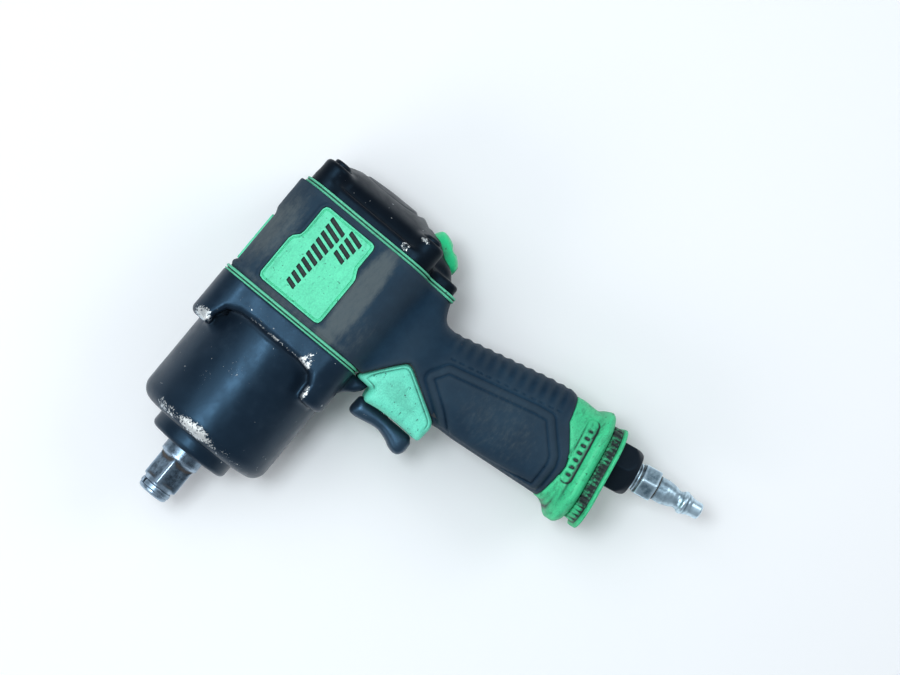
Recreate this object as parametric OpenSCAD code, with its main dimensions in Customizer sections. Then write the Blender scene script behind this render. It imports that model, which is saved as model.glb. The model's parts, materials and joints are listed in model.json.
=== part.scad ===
// Pneumatic impact wrench with a pistol grip, lying on its right side.
// The barrel axis is the X axis and the front tip of the anvil is at the origin.
// +X points to the rear, +Y to the top of the tool and +Z to its left side.

/* [Drive] */
// Side of the square drive
drive_square = 12.7; // [11:0.1:13]
// Turn of the square about the barrel axis
drive_turn = 38; // [0:1:89]
// Radius of the round shank behind the square
shank_r = 9.65; // [9.3:0.05:9.9]
// Radius of the anvil where it runs in its bushing
journal_r = 10.6; // [10.2:0.05:11]

/* [Hammer case] */
// Outer radius of the barrel
case_r = 33.6; // [33.2:0.1:35]
// Radius of the nose collar
collar_r = 20; // [18:0.5:22]
// Radius of the shoulder between the front face and the barrel
shoulder_r = 7; // [4:0.5:8]
// Radius of the cavity that the clutch turns in
cavity_r = 29.8; // [29.6:0.1:30]

/* [Body] */
// Half of the body's width
body_half_w = 37; // [36.5:0.5:39]
// Height of the top of the body above the barrel axis
body_top = 37.4; // [37:0.2:39]
// Depth of the body's underside below the barrel axis
body_low = 35; // [34.5:0.5:36]
// Radius of the body's long edges
body_round = 13; // [10:0.5:14]
// Thickness of the moulded rubber
rubber_t = 3; // [2.6:0.1:3.2]
// Side distance of the case bolts from the barrel axis
bolt_z = 26.5; // [26:0.5:27]
// Height of the upper case bolts
bolt_high = 26.5; // [26:0.5:27]
// Depth of the lower case bolts
bolt_low = 25; // [25:0.5:26]

/* [Grip] */
// Rearward lean of the grip
grip_lean = 10.4; // [9.5:0.1:11]
// Half of the grip's width
grip_half_w = 21; // [20.5:0.5:22]
// Number of ribs on the rear of the grip
rib_count = 13; // [8:1:14]
// Distance of the air inlet axis behind the grip's datum line
inlet_t = 4; // [3.8:0.1:4.2]
// Width across the flats of the inlet bushing
bushing_flats = 22; // [20:0.5:23]
// Width across the flats of the air plug
plug_flats = 14.3; // [13:0.1:15]
// Radius of the air plug's tip
plug_tip_r = 3.85; // [3.6:0.05:4]

/* [Regulator] */
// Tilt of the dial's axis below the barrel axis
dial_tilt = 33; // [31:0.5:35]
// Radius of the dial
dial_r = 10; // [9.7:0.1:10.4]

/* [Motion] */
// Travel of the trigger
trigger_travel = 5; // [3:0.5:5]
// Gap between the trigger rod and the throttle stem at rest
rod_gap = 0.7; // [0.6:0.05:0.9]
// Radial running clearance of the shafts
running_gap = 0.04; // [0.02:0.01:0.08]

/* [Motor] */
// Radius of the rotor
rotor_r = 23; // [22:0.1:23]
// Inner radius of the cylinder liner
liner_bore_r = 25.5; // [25.5:0.1:25.6]
// Offset of the liner's bore below the barrel axis
liner_offset = 2.25; // [2:0.05:2.25]
// Number of vanes
vane_count = 6; // [4:1:8]

/* [Hidden] */
$fn = 96;

// Places along the barrel axis
square_x = 6;
shank_x = 19.3;
collar_x = 25;
face_x = 32.7;
journal_x = 30.5;
cavity_x = 37;
lug_x = 75;
recess_x = 88;
recess_step = 0.4;
gasket_x = 98.8;
sleeve_x = 101.4;
sleeve_end_x = 150.8;
cap_x = 153.5;
boss_end_x = 165.5;
bolt_x = 82.5;
head_x = 166;
cap_end_x = 174.6;

// Twin hammer clutch
cage_x = 45;
cage_end_x = 84;
cage_plate = 5;
cage_r = 29.2;
hammer_x = [51.5, 64.5];
hammer_w = 12;
hammer_r = 25;
hammer_bore_r = 13.2;
jaw_r = 11.8;
pin_y = 20.5;
pin_r = 3;
rock_slot = 2.1;

// Motor
plate_r = 30;
plate_x = 96;
liner_x = 103.2;
liner_end_x = 144.3;
bore_r = 30.05;
shaft_r = 6;
race_r = 12;
ball_orbit_r = 9.1;
ball_r = 1.6;
ball_count = 9;
bearing_w = 5.5;
front_bearing_x = 96.6;
rear_bearing_x = 144.9;
vane_t = 2;
vane_root_r = 12;
dowel_y = 27.4;
dowel_r = 1.25;

// Grip datum: s runs down the grip, t rearward and z to the left
grip_x = 118;
grip_y = -40;
core_end_s = 105.5;
bushing_s = 96.2;
cover_end_s = 112;
hex_end_s = 126;
plug_end_s = 160;
passage_r = 8.5;
seat_s = 34.5;
seat_t = 2.5;
pivot_s = 37.75;
pivot_offset = 6.3;
pivot_r = 0.7;
stem_top_s = 15;
trigger_end_x = 94;
rod_y = -58;
rod_r = 2.5;
guide_r = 5;

// Gap between nodes that are bonded together
bond_gap = 0.02;

// Regulator in the lower rear of the cap, in its own axes: x runs outward along the dial's axis
dial_at = [166, -32.3, 0];
dial_back = -4.5;
dial_front = 4.5;
dial_edge = 4;
spool_back = -9;
spool_front = -5.1;
spool_r = 5.5;
seal_at = -6.7;
detent_z = 8.6;
detent_at = -6.2;
feed_y = -32;
feed_r = 2.6;

// Places a turned or extruded shape along the barrel axis
module along_x(x) translate([x, 0, 0]) rotate([0, 90, 0]) children();

// Places a shape drawn with x down the grip and y rearward
module on_grip() translate([grip_x, grip_y, 0]) rotate([0, 0, grip_lean - 90]) children();

// Places a turned shape on the air inlet axis
module along_inlet(s) on_grip() translate([s, inlet_t, 0]) rotate([0, 90, 0]) children();

// Places a shape in the regulator's axes
module on_dial() translate(dial_at) rotate([0, 0, -dial_tilt]) children();

module block(from, to) translate(from) cube(to - from);

module rod_x(x0, x1, r, y = 0, z = 0) translate([x0, y, z]) rotate([0, 90, 0])
    cylinder(r = r, h = x1 - x0);

module tube_x(x0, x1, outer, inner) difference() {
    rod_x(x0, x1, outer);
    rod_x(x0 - 1, x1 + 1, inner);
}

module slab(depth) translate([0, 0, -depth]) linear_extrude(2 * depth) children();

module rounded_rect(w, h, r) {
    square([w - 2 * r, h], center = true);
    square([w, h - 2 * r], center = true);
    for (sx = [-1, 1], sy = [-1, 1])
        translate([sx * (w / 2 - r), sy * (h / 2 - r)]) circle(r);
}

// Points of an arc about c from angle a0 to a1
function arc(c, r, a0, a1, n = 6) =
    [for (i = [0:n]) c + r * [cos(a0 + (a1 - a0) * i / n), sin(a0 + (a1 - a0) * i / n)]];

module at_bolts(x) for (z = [-bolt_z, bolt_z], y = [bolt_high, -bolt_low])
    translate([x, y, z]) rotate([0, 90, 0]) children();

// Section of the body across the barrel, inset by d, with x across and y up
module body_section(d, top = body_top, neck_half = 23, neck_low = 51) {
    translate([0, (top - body_low) / 2])
        rounded_rect(2 * (body_half_w - d), top + body_low - 2 * d, body_round - d);
    translate([0, -(neck_low - d) / 2 - 10])
        rounded_rect(2 * (neck_half - d), neck_low - d - 20, 8 - d / 2);
}

module body_bar(x0, x1, d, top = body_top) along_x(x0) linear_extrude(x1 - x0)
    body_section(d, top);

// A flat shape across the grip, extruded down it by h from s
module across_grip(s, h, t) on_grip() translate([s, t, 0]) rotate([0, 90, 0]) linear_extrude(h) children();

// Section of the grip across its axis, inset by d
module grip_bar(s0, s1, d) across_grip(s0, s1 - s0, -0.6)
    rounded_rect(2 * (grip_half_w - d), 49 - 2 * d, 14 - d);

// Front and rear outline of the grip in s and t, inset by d
function grip_outline(d) = [
    [-12, d - 20], [34, d - 20.4], [44, d - 20.9], [90.5, d - 24.3], [112, d - 25],
    [112, 23.2 - d], [84, 23.6 - d], [70, 22.9 - d], [35, 20.3 - d], [18.6, 19.7 - d],
    [12, 22 - d], [8, 27 - d], [6.5, 40], [-12, 40]
];

module grip_shape(s0, s1, d) intersection() {
    grip_bar(s0, s1, d);
    on_grip() slab(60) polygon(grip_outline(d));
}

// Line where the rubber ends and the grip base begins
base_line = [[90.5, -26], [94.4, -7.9], [86.7, 9], [85.2, 26]];

// Rear edge of the trigger surround, and its whole outline
surround_back = [
    [101.4, -37.6], [116.6, -49.4], [118.4, -51.6], [117.4, -54.4], [104.6, -76.2], [102.4, -77.3]
];
surround_outline = concat(
    [[98.8, -35.6]], surround_back,
    [[93.4, -76.6], [94, -71], [94.3, -63.8], [93.8, -54], [92.5, -46.2], [95.4, -45]]
);

badge_outline = concat(
    arc([107.3, 22.4], 2.4, 180, 90), [[126.3, 24.8], [129, 23.6], [130.2, 21.5]],
    arc([145.4, 19.1], 2.4, 90, 0), arc([145.4, -5], 2.4, 0, -90), [[134.8, -7.4], [131.5, -9.2]],
    [[129.6, -9.8]], arc([107.3, -7.4], 2.4, -90, -180)
);

// Chin of the case over the trigger
module case_chin(half_w) slab(half_w)
    polygon([[85, -30], [gasket_x, -30], [gasket_x, -46], [94, -44.4], [91.6, -42.6], [86.6, -35.6]]);

module hammer_case() color([0.05, 0.06, 0.08]) difference() {
    union() {
        // Turned nose, shoulder and barrel
        along_x(0) rotate_extrude() polygon(concat(
            [[0, collar_x], [collar_r - 2, collar_x]],
            arc([collar_r - 2, collar_x + 2], 2, -90, 0),
            [[collar_r, face_x]],
            arc([case_r - shoulder_r, face_x + shoulder_r], shoulder_r, -90, 0),
            [[case_r, lug_x - 0.1], [case_r - recess_step, lug_x - 0.1]],
            [[case_r - recess_step, gasket_x], [0, gasket_x]]
        ));
        // Square rear block, open between its lugs
        difference() {
            body_bar(lug_x, gasket_x, 0, body_top + 0.8);
            block([lug_x - 1, -90, -60], [gasket_x + 1, -body_low, 60]);
            slab(60) translate([recess_x - 20, 3]) rounded_rect(40, 42, 5);
            block([lug_x - 1, 0, -19], [recess_x, 60, 19]);
            block([lug_x - 1, -60, -19], [recess_x - 2, 0, 19]);
        }
        case_chin(16);
    }
    rod_x(collar_x - 1, 27, shank_r + 0.6);
    rod_x(26.9, journal_x, 12.55);
    rod_x(journal_x - 0.1, cavity_x + 1, 13.5);
    rod_x(cavity_x, plate_x, cavity_r);
    rod_x(plate_x - 0.1, gasket_x + 1, bore_r);
    at_bolts(bolt_x - 0.5) cylinder(r = 2.55, h = 20);
    trigger_slot();
}

module front_gasket() color([0.13, 0.6, 0.2]) difference() {
    union() {
        difference() {
            body_bar(gasket_x, sleeve_x, 0, body_top + 0.8);
            block([gasket_x - 1, -90, -60], [sleeve_x + 1, -body_low, 60]);
        }
        block([gasket_x, -36.2, -19], [sleeve_x, -body_low + 4, 19]);
    }
    rod_x(gasket_x - 1, sleeve_x + 1, bore_r);
    at_bolts(gasket_x - 1) cylinder(r = 2.75, h = 5);
}

// Slot of the trigger in the chin, the surround and the handle core
module trigger_slot() block([84, -76, -9.6], [trigger_end_x + trigger_travel + 1.6, -43.6, 9.6]);

module motor_housing() color([0.09, 0.09, 0.1]) difference() {
    union() {
        intersection() {
            body_bar(sleeve_x, sleeve_end_x, rubber_t);
            slab(60) polygon([[sleeve_x, 60], [sleeve_end_x, 60], [sleeve_end_x, -47], [116, -50],
                [104, -40], [sleeve_x, -38]]);
        }
        intersection() {
            grip_shape(-6, core_end_s, rubber_t);
            slab(60) polygon([[101.6, -30], [170, -30], [170, -170], [94, -170], [96.9, -60],
                [96.9, -48], [99, -48], [99, -41], [101.6, -40]]);
        }
    }
    rod_x(sleeve_x - 1, sleeve_end_x + 1, bore_r);
    at_bolts(sleeve_x - 1) cylinder(r = 2.75, h = 60);
    trigger_slot();
    // Guide of the trigger rod
    rod_x(95, 112, guide_r, rod_y);
    rod_x(110, 126, 3.2, rod_y);
    // Valve chamber, air passage and thread of the inlet
    along_inlet(0) cylinder(r = passage_r, h = 98);
    along_inlet(96) cylinder(r = 9.5, h = 20);
    // Feed from the chamber to the reverse valve
    rod_x(124, 160, 4.6, -36.5);
    // Exhaust: two ducts beside the rod, then one slot
    for (z = [-11.5, 11.5]) on_grip() translate([-14, -12.5, z]) rotate([0, 90, 0]) cylinder(r = 3, h = 60);
    on_grip() block([38, -15.2, -13], [core_end_s + 1, -7, 13]);
}

module rubber_sleeve() color([0.16, 0.17, 0.18]) difference() {
    union() {
        intersection() {
            body_bar(sleeve_x, sleeve_end_x, 0);
            slab(60) polygon(concat(
                [[sleeve_x, 60], [sleeve_end_x, 60], [sleeve_end_x, -46]],
                [[150, -49.2], [147.4, -50.2]],
                [[116, -60], [sleeve_x, -60]]
            ));
        }
        intersection() {
            grip_shape(-8, 100, 0);
            on_grip() slab(60) polygon([[-20, -40], each base_line, [-20, 40]]);
        }
        // Fillet from the body into the rear of the grip
        intersection() {
            body_bar(130, sleeve_end_x, 0);
            slab(18) difference() {
                polygon([[136, -40], [149.5, -40], [148, -50.2], [141.5, -58]]);
                translate([150.6, -59.6]) circle(9.6);
            }
        }
        // Raised side panels of the grip
        slab(grip_half_w + 0.7) polygon([[122, -63.4], [133.6, -72.7], [140.7, -113.8], [129.1, -126.5],
            [112.3, -127.4], [107.6, -87]]);
    }
    // The moulding follows the housing core
    body_bar(sleeve_x - 1, sleeve_end_x + 1, rubber_t);
    grip_shape(-9, 110, rubber_t);
    rod_x(sleeve_x - 1, sleeve_end_x + 1, bore_r);
    // Room for the surround
    block([80, -60, -40], [sleeve_x, 0, 40]);
    slab(30) polygon(concat([[88, -77.3], [90, -35.6]], surround_back));
    // Badge pockets
    for (side = [-1, 1]) scale([1, 1, side]) translate([0, 0, body_half_w - 1.4])
        linear_extrude(5) polygon(badge_outline);
    block([105.8, body_top - 1.2, -13], [131.2, body_top + 5, 13]);
    // Grooves between the ribs of the grip
    for (i = [0:rib_count - 1])
        on_grip() translate([26 + i * 4.5, 24.2 + 0.25 * min(i, 10) - 2.6 * (1 - min(i, 10) / 10), -30])
            cylinder(r = 1.7, h = 60);
    at_bolts(sleeve_x - 1) cylinder(r = 2.75, h = 60);
}

module side_badge(side) color([0.2, 0.62, 0.3]) scale([1, 1, side]) difference() {
    translate([0, 0, body_half_w - 1.4]) linear_extrude(1.3) polygon(badge_outline);
    // Fine step round the face
    translate([0, 0, body_half_w - 0.5]) linear_extrude(1) difference() {
        polygon(badge_outline);
        translate([128 * 0.03, 8 * 0.05]) scale([0.97, 0.95]) polygon(badge_outline);
    }
}

module side_badge_left() side_badge(1);

module side_badge_right() side_badge(-1);

module top_badge() color([0.2, 0.6, 0.3])
    block([106, body_top - 1.2, -12.8], [131, body_top + 0.2, 12.8]);

module trigger_surround() color([0.16, 0.62, 0.25]) difference() {
    slab(22.2) polygon(surround_outline);
    // The handle core fills its middle
    grip_shape(-9, core_end_s, rubber_t - bond_gap);
    body_bar(sleeve_x, sleeve_end_x, rubber_t - bond_gap);
    trigger_slot();
    block([gasket_x - 1, -36.3, -25], [sleeve_x, -30, 25]);
    case_chin(16.2);
    rod_x(80, 125, guide_r + bond_gap, rod_y);
}

module rear_gasket() color([0.13, 0.6, 0.2]) difference() {
    intersection() {
        body_bar(sleeve_end_x, cap_x, 1.2, body_top - 1);
        slab(60) polygon([[sleeve_end_x, 60], [cap_x, 60], [cap_x, -49.6], [sleeve_end_x, -48.6]]);
    }
    rod_x(sleeve_end_x - 1, cap_x + 1, 22);
    at_bolts(sleeve_end_x - 1) cylinder(r = 2.75, h = 5);
    rod_x(sleeve_end_x - 1, cap_x + 1, feed_r, feed_y);
}

module rear_cap() color([0.06, 0.06, 0.07]) difference() {
    union() {
        intersection() {
            body_bar(cap_x, cap_end_x, 3, body_top - 2);
            slab(60) polygon([[cap_x, 60], [157.5, 60], [158.5, 32], [165, 30.6], [169.6, 25.5], [173, 16.6],
                [cap_end_x, 2], [cap_end_x, -13.8], [172.9, -22.7], [160.6, -43.6], [158, -47.6],
                [cap_x, -48.4]]);
        }
        at_bolts(cap_x) cylinder(r = 7.3, h = boss_end_x - cap_x);
    }
    // Bearing room and air chamber
    rod_x(cap_x - 1, 164, 20);
    at_bolts(cap_x - 1) cylinder(r = 2.75, h = 20);
    at_bolts(head_x - 2) cylinder(r = 4.9, h = 12);
    // Feed, bore of the reverse valve and recess of the dial
    rod_x(cap_x - 1, 157.5, feed_r, feed_y);
    on_dial() rod_x(spool_back - 0.2, dial_back, spool_r + running_gap);
    on_dial() rod_x(dial_back - 0.3, 30, dial_r + 0.4);
    // Detent pocket
    on_dial() rod_x(detent_at - 3.1, dial_back, 1.6, 0, detent_z);
}

module case_bolts() color("silver") difference() {
    union() {
        at_bolts(bolt_x) cylinder(r = 2.5, h = head_x - bolt_x);
        at_bolts(head_x - 1.5) cylinder(r = 4.2, h = 5);
    }
    at_bolts(head_x + 1) cylinder(r = 2.3, h = 5, $fn = 6);
}

module bolt_washers() color("silver") at_bolts(head_x - 2) difference() {
    cylinder(r = 4.5, h = 0.5);
    translate([0, 0, -1]) cylinder(r = 2.7, h = 3);
}

module regulator_dial() color([0.16, 0.66, 0.24]) on_dial() difference() {
    union() {
        // Round-edged disc
        along_x(0) rotate_extrude() polygon(concat(
            [[0, dial_back], [dial_r - 1, dial_back]],
            [[dial_r, dial_back + 1]],
            arc([dial_r - dial_edge, dial_front - 1 - dial_edge], dial_edge, 0, 90),
            [[0, dial_front - 1]]
        ));
        // Finger bar across the face
        block([0, -dial_r + 3, -2], [dial_front, dial_r - 3, 2]);
        rod_x(0, dial_front, 5);
    }
    rod_x(dial_back - 1, dial_front + 1, 2.1);
    rod_x(dial_front - 2, dial_front + 1, 3.7);
    // Socket on the squared end of the spool
    block([dial_back - 1, -3.05, -3.05], [-0.4, 3.05, 3.05]);
}

module dial_screw() color("silver") on_dial() difference() {
    union() {
        rod_x(spool_front - 1.4, 2.6, 2);
        rod_x(2.6, dial_front + 0.4, 3.4);
    }
    rod_x(3.4, dial_front + 1, 1);
}

module reverse_valve() color("gainsboro") on_dial() difference() {
    union() {
        rod_x(spool_back, spool_front, spool_r);
        block([spool_front - 0.1, -3, -3], [-0.5, 3, 3]);
    }
    // Seal groove, flow port and screw hole
    difference() {
        rod_x(seal_at - 0.8, seal_at + 0.8, spool_r + 1);
        rod_x(seal_at - 1, seal_at + 1, spool_r - 1);
    }
    block([spool_back - 1, -10, -2.4], [spool_back + 1, -1.5, 2.4]);
    rod_x(spool_front - 1.6, 0, 2.02);
}

// Rubber ring about X, with the radius of its wire
module o_ring(orbit_r, wire_r) rotate([0, 90, 0]) rotate_extrude()
    translate([orbit_r, 0]) circle(wire_r, $fn = 24);

module valve_o_ring() color("black") on_dial() translate([seal_at, 0, 0]) o_ring(spool_r - 0.52, 0.46);

module detent_ball() color("silver") on_dial() translate([detent_at, 0, detent_z])
    sphere(1.5, $fn = 32);

// Wire of a compression spring about Z, from h0 to h1, as rings of points on a helix
module spring(coil_r, wire_r, h0, h1, turns, steps = 14, sides = 6) {
    n = turns * steps;
    points = [for (i = [0:n], k = [0:sides - 1])
        let (a = 360 * i / steps, b = 360 * k / sides, r = coil_r + wire_r * cos(b))
        [r * cos(a), r * sin(a), h0 + wire_r * (1 + sin(b)) + (h1 - h0 - 2 * wire_r) * i / n]];
    sides_faces = [for (i = [0:n - 1], k = [0:sides - 1])
        let (j = (k + 1) % sides)
        [i * sides + k, i * sides + j, (i + 1) * sides + j, (i + 1) * sides + k]];
    first_face = [[for (k = [0:sides - 1]) sides - 1 - k]];
    last_face = [[for (k = [0:sides - 1]) n * sides + k]];
    polyhedron(points, concat(sides_faces, first_face, last_face));
}

module detent_spring() color("silver") on_dial() translate([detent_at - 3.1, 0, detent_z])
    rotate([0, 90, 0]) spring(1.1, 0.2, 0.05, 1.55, 2);

module trigger() color([0.05, 0.05, 0.06]) difference() {
    intersection() {
        slab(9) polygon(concat(
            [[94, -44.6], [88.2, -44.4]],
            arc([87.8, -47.4], 3, 90, 180, 4),
            [[85.2, -52], [86.6, -57], [86.8, -61], [85, -66.4], [83.2, -69.6]],
            arc([86.4, -71.4], 3.6, 170, 270, 5),
            [[91, -75.4], [93.6, -73]]
        ));
        union() {
            block([80, -80, -6], [96, -40, 6]);
            translate([91, -60, 0]) rotate([90, 0, 0]) linear_extrude(60, center = true)
                rounded_rect(20, 18, 5);
        }
    }
    rod_x(88, 95, rod_r + 0.02, rod_y);
    translate([91, rod_y, -7.5]) cylinder(r = 1.02, h = 15);
}

module trigger_rod() color("silver") difference() {
    union() {
        rod_x(88.2, 118, rod_r, rod_y);
        rod_x(117, 123.9 - rod_gap, 1.8, rod_y);
    }
    translate([91, rod_y, -10]) cylinder(r = 1.02, h = 20);
}

module trigger_pin() color("silver") translate([91, rod_y, -7.4]) cylinder(r = 1, h = 14.8);

module trigger_bushing() color("goldenrod") difference() {
    rod_x(101, 112, guide_r, rod_y);
    rod_x(100, 113, rod_r + running_gap, rod_y);
}

module throttle_valve() color("silver") along_inlet(0) {
    translate([0, 0, stem_top_s]) cylinder(r = 1.5, h = seat_s + seat_t - stem_top_s + 1);
    translate([0, 0, seat_s + seat_t + 0.1]) cylinder(r = 6, h = 2.4);
    // Round heel that the valve tilts on
    translate([0, -pivot_offset, pivot_s]) rotate([0, 90, 0]) cylinder(r = pivot_r, h = 4, center = true);
}

module valve_seat() color("goldenrod") along_inlet(seat_s) difference() {
    cylinder(r = passage_r, h = seat_t);
    translate([0, 0, -1]) cylinder(r = 4.2, h = 5);
}

module valve_spring() color("silver") along_inlet(0) spring(5, 0.55, seat_s + seat_t + 2.6, 56, 4);

module spring_seat() color("goldenrod") along_inlet(56) difference() {
    cylinder(r = passage_r, h = 2);
    translate([0, 0, -1]) cylinder(r = 3.8, h = 4);
}

module inlet_screen() color("silver") along_inlet(84) difference() {
    cylinder(r = 7, h = 12);
    translate([0, 0, 1]) cylinder(r = 6.2, h = 12);
    for (i = [0:5]) translate([3.6 * cos(60 * i), 3.6 * sin(60 * i), -1]) cylinder(r = 1.2, h = 4);
}

module inlet_bushing() color([0.07, 0.07, 0.08]) along_inlet(bushing_s) difference() {
    union() {
        cylinder(r = 9.45, h = 17);
        translate([0, 0, cover_end_s - bushing_s]) intersection() {
            cylinder(r = bushing_flats / sqrt(3), h = hex_end_s - cover_end_s, $fn = 6);
            rotate_extrude() polygon([[0, 0], [13.2, 0], [13.2, 12.6], [11.6, 14], [0, 14]]);
        }
    }
    translate([0, 0, -1]) cylinder(r = 6.2, h = 22);
    translate([0, 0, 19]) cylinder(r = 6.85, h = 20);
    translate([0, 0, 1.4]) difference() {
        cylinder(r = 11, h = 1.8);
        translate([0, 0, -1]) cylinder(r = 8.4, h = 4);
    }
}

module bushing_o_ring() color("black") along_inlet(bushing_s + 2.3) rotate_extrude()
    translate([8.95, 0]) circle(0.5, $fn = 24);

module air_plug() color([0.6, 0.6, 0.58]) along_inlet(0) difference() {
    union() {
        rotate_extrude() polygon([
            [0, 116], [5.9, 116], [6.8, 130], [0, 130]
        ]);
        translate([0, 0, 130]) cylinder(r = plug_flats / sqrt(3), h = 8.6, $fn = 6);
        rotate_extrude() polygon(concat(
            [[0, 138], [6.4, 138], [5.5, 140], [5.5, 145.4], [4.1, 147.2], [4.1, 149]],
            arc([4.6, 151], 1.6, -60, 60, 5),
            [[4.1, 153], [3.7, 154], [3.7, 156]],
            [[plug_tip_r, 156.4], [plug_tip_r, 159], [3.2, plug_end_s], [0, plug_end_s]]
        ));
    }
    translate([0, 0, 115]) cylinder(r = 2.8, h = 50);
}

module grip_base() color([0.18, 0.6, 0.27]) difference() {
    union() {
        // Collar that continues the grip
        intersection() {
            grip_bar(80, 100, -0.4);
            on_grip() slab(60) polygon([[86, -32], each base_line, [85, 32], [101, 32], [101, -32]]);
        }
        // Flared lip
        across_grip(97.4, 2.4, -4.2) rounded_rect(46.8, 51, 16);
        across_grip(98.8, 3.6, -4.4) rounded_rect(51, 54.4, 18);
        across_grip(102.2, 3, -4.6) rounded_rect(46.6, 49.6, 16);
    }
    // It sits round the foot of the core
    grip_shape(60, 106, rubber_t - bond_gap);
}

module exhaust_cover() color([0.2, 0.66, 0.28]) difference() {
    union() {
        across_grip(core_end_s, 3.2, -4.8) rounded_rect(40, 44, 13);
        across_grip(core_end_s + 3.1, cover_end_s - core_end_s - 3.1, -5.3) rounded_rect(44, 48.6, 15);
    }
    along_inlet(100) cylinder(r = 9.6, h = 20);
    // Exhaust outlets through the foot
    for (z = [-8, 0, 8]) on_grip() translate([100, -16, z]) rotate([0, 90, 0]) cylinder(r = 2.6, h = 20);
}

module muffler() color([0.75, 0.72, 0.6]) on_grip() block([90, -15, -12.8], [core_end_s - 0.2, -7.2, 12.8]);

module anvil() color([0.55, 0.54, 0.52]) rotate([drive_turn, 0, 0]) difference() {
    union() {
        // Pilot with its groove, and a chamfered tip
        along_x(0) rotate_extrude() polygon([[0, 0], [6.3, 0], [7.3, 1], [7.3, 2], [5, 2], [5, 4.6],
            [7.3, 4.6], [7.3, square_x], [0, square_x]]);
        intersection() {
            rod_x(square_x - 0.4, shank_x + 3, 8.8);
            cube([100, drive_square, drive_square], center = true);
        }
        // Cone that runs the flats into the shank, then journal and flange
        along_x(0) rotate_extrude() polygon([[0, shank_x - 3.2], [6.4, shank_x - 3.2], [shank_r, shank_x],
            [shank_r, journal_x], [journal_r, journal_x], [journal_r, 43.4], [13, 43.4],
            [13, 45.4], [0, 45.4]]);
        rod_x(45, 77.4, 8.5);
        rod_x(77, cage_end_x, 6);
        // Two opposite jaws, one for each hammer
        for (i = [0, 1]) intersection() {
            rod_x(hammer_x[i], hammer_x[i] + hammer_w - 0.5, jaw_r);
            block([40, i == 0 ? 0 : -20, -4.5], [90, i == 0 ? 20 : 0, 4.5]);
        }
    }
}

module friction_ring() color("gray") rotate([drive_turn, 0, 0]) difference() {
    tube_x(2.1, 4.5, 7.7, 6.3);
    block([1, 5, -0.7], [6, 9, 0.7]);
}

module friction_o_ring() color("black") translate([3.3, 0, 0]) o_ring(5.66, 0.62);

module anvil_bushing() color("goldenrod") tube_x(journal_x, 43, 13.5, journal_r + running_gap);

module anvil_seal() color([0.12, 0.12, 0.12]) tube_x(27.1, journal_x - 0.2, 12.5, shank_r + running_gap);

module hammer_cage() color("slategray") difference() {
    union() {
        rod_x(cage_x + 0.8, cage_x + cage_plate, cage_r);
        rod_x(77.6, cage_end_x, cage_r);
        // Side bars that join the plates
        intersection() {
            tube_x(cage_x + 1, cage_end_x - 1, cage_r, 26.6);
            block([cage_x, -13, -40], [cage_end_x, 13, 40]);
        }
        rod_x(cage_end_x - 1, 93, 9.5);
    }
    rod_x(cage_x, 60, 12.4);
    rod_x(76, cage_end_x + 0.4, shaft_r + running_gap);
    // Hexagonal socket of the rotor nose
    along_x(cage_end_x + 1) rotate([0, 0, 30]) cylinder(r = 5.9, h = 12, $fn = 6);
    for (y = [-pin_y, pin_y]) rod_x(cage_x, cage_end_x + 1, pin_r + 0.01, y);
}

// One hammer: it pivots on the pin at +Y and has a slot for the other
module hammer(x) difference() {
    rod_x(x, x + hammer_w, hammer_r);
    rod_x(x - 1, x + hammer_w + 1, hammer_bore_r);
    rod_x(x - 1, x + hammer_w + 1, pin_r + running_gap, pin_y);
    for (z = [-rock_slot, rock_slot]) rod_x(x - 1, x + hammer_w + 1, pin_r + 0.3, -pin_y, z);
    block([x - 1, -pin_y - pin_r - 0.3, -rock_slot], [x + hammer_w + 1, -pin_y + pin_r + 0.3, rock_slot]);
}

module hammer_front() color("dimgray") hammer(hammer_x[0]);

module hammer_rear() color("dimgray") scale([1, -1, 1]) hammer(hammer_x[1]);

module hammer_pins() color("silver") for (y = [-pin_y, pin_y])
    rod_x(cage_x + 0.9, cage_end_x - 0.1, pin_r, y);

module end_plate(x0, x1, bearing_at) difference() {
    rod_x(x0, x1, plate_r);
    rod_x(bearing_at, bearing_at + bearing_w + 0.1, race_r);
    rod_x(x0 - 1, x1 + 1, 8);
    // Hole of the dowel
    rod_x(x0 - 1, x1 + 1, dowel_r + 0.05, dowel_y);
}

module front_end_plate() color("lightgray") end_plate(plate_x, liner_x - 0.1, front_bearing_x);

module rear_end_plate() color("lightgray") end_plate(liner_end_x + 0.1, sleeve_end_x, rear_bearing_x);

module cylinder_liner() color("lightsteelblue") difference() {
    rod_x(liner_x, liner_end_x, plate_r);
    rod_x(liner_x - 1, liner_end_x + 1, liner_bore_r, -liner_offset);
    rod_x(liner_x - 1, liner_end_x + 1, dowel_r + 0.05, dowel_y);
    // Air ports through the wall
    for (i = [0:4], side = [-1, 1]) translate([112 + 6.5 * i, 0, 0]) rotate([side * 50, 0, 0])
        translate([0, -34, 0]) rotate([-90, 0, 0]) cylinder(r = 2, h = 14);
}

module liner_dowel() color("silver") rod_x(99, 149, dowel_r, dowel_y);

module rotor() color("steelblue") difference() {
    union() {
        rod_x(liner_x + 0.2, liner_end_x - 0.2, rotor_r);
        rod_x(94, 152, shaft_r - 0.01);
        along_x(cage_end_x + 1.4) rotate([0, 0, 30]) cylinder(r = 5.8, h = 10, $fn = 6);
    }
    for (i = [0:vane_count - 1]) rotate([i * 360 / vane_count, 0, 0])
        block([liner_x, vane_root_r - 0.4, -vane_t / 2 - 0.05], [liner_end_x, rotor_r + 1, vane_t / 2 + 0.05]);
}

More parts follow.
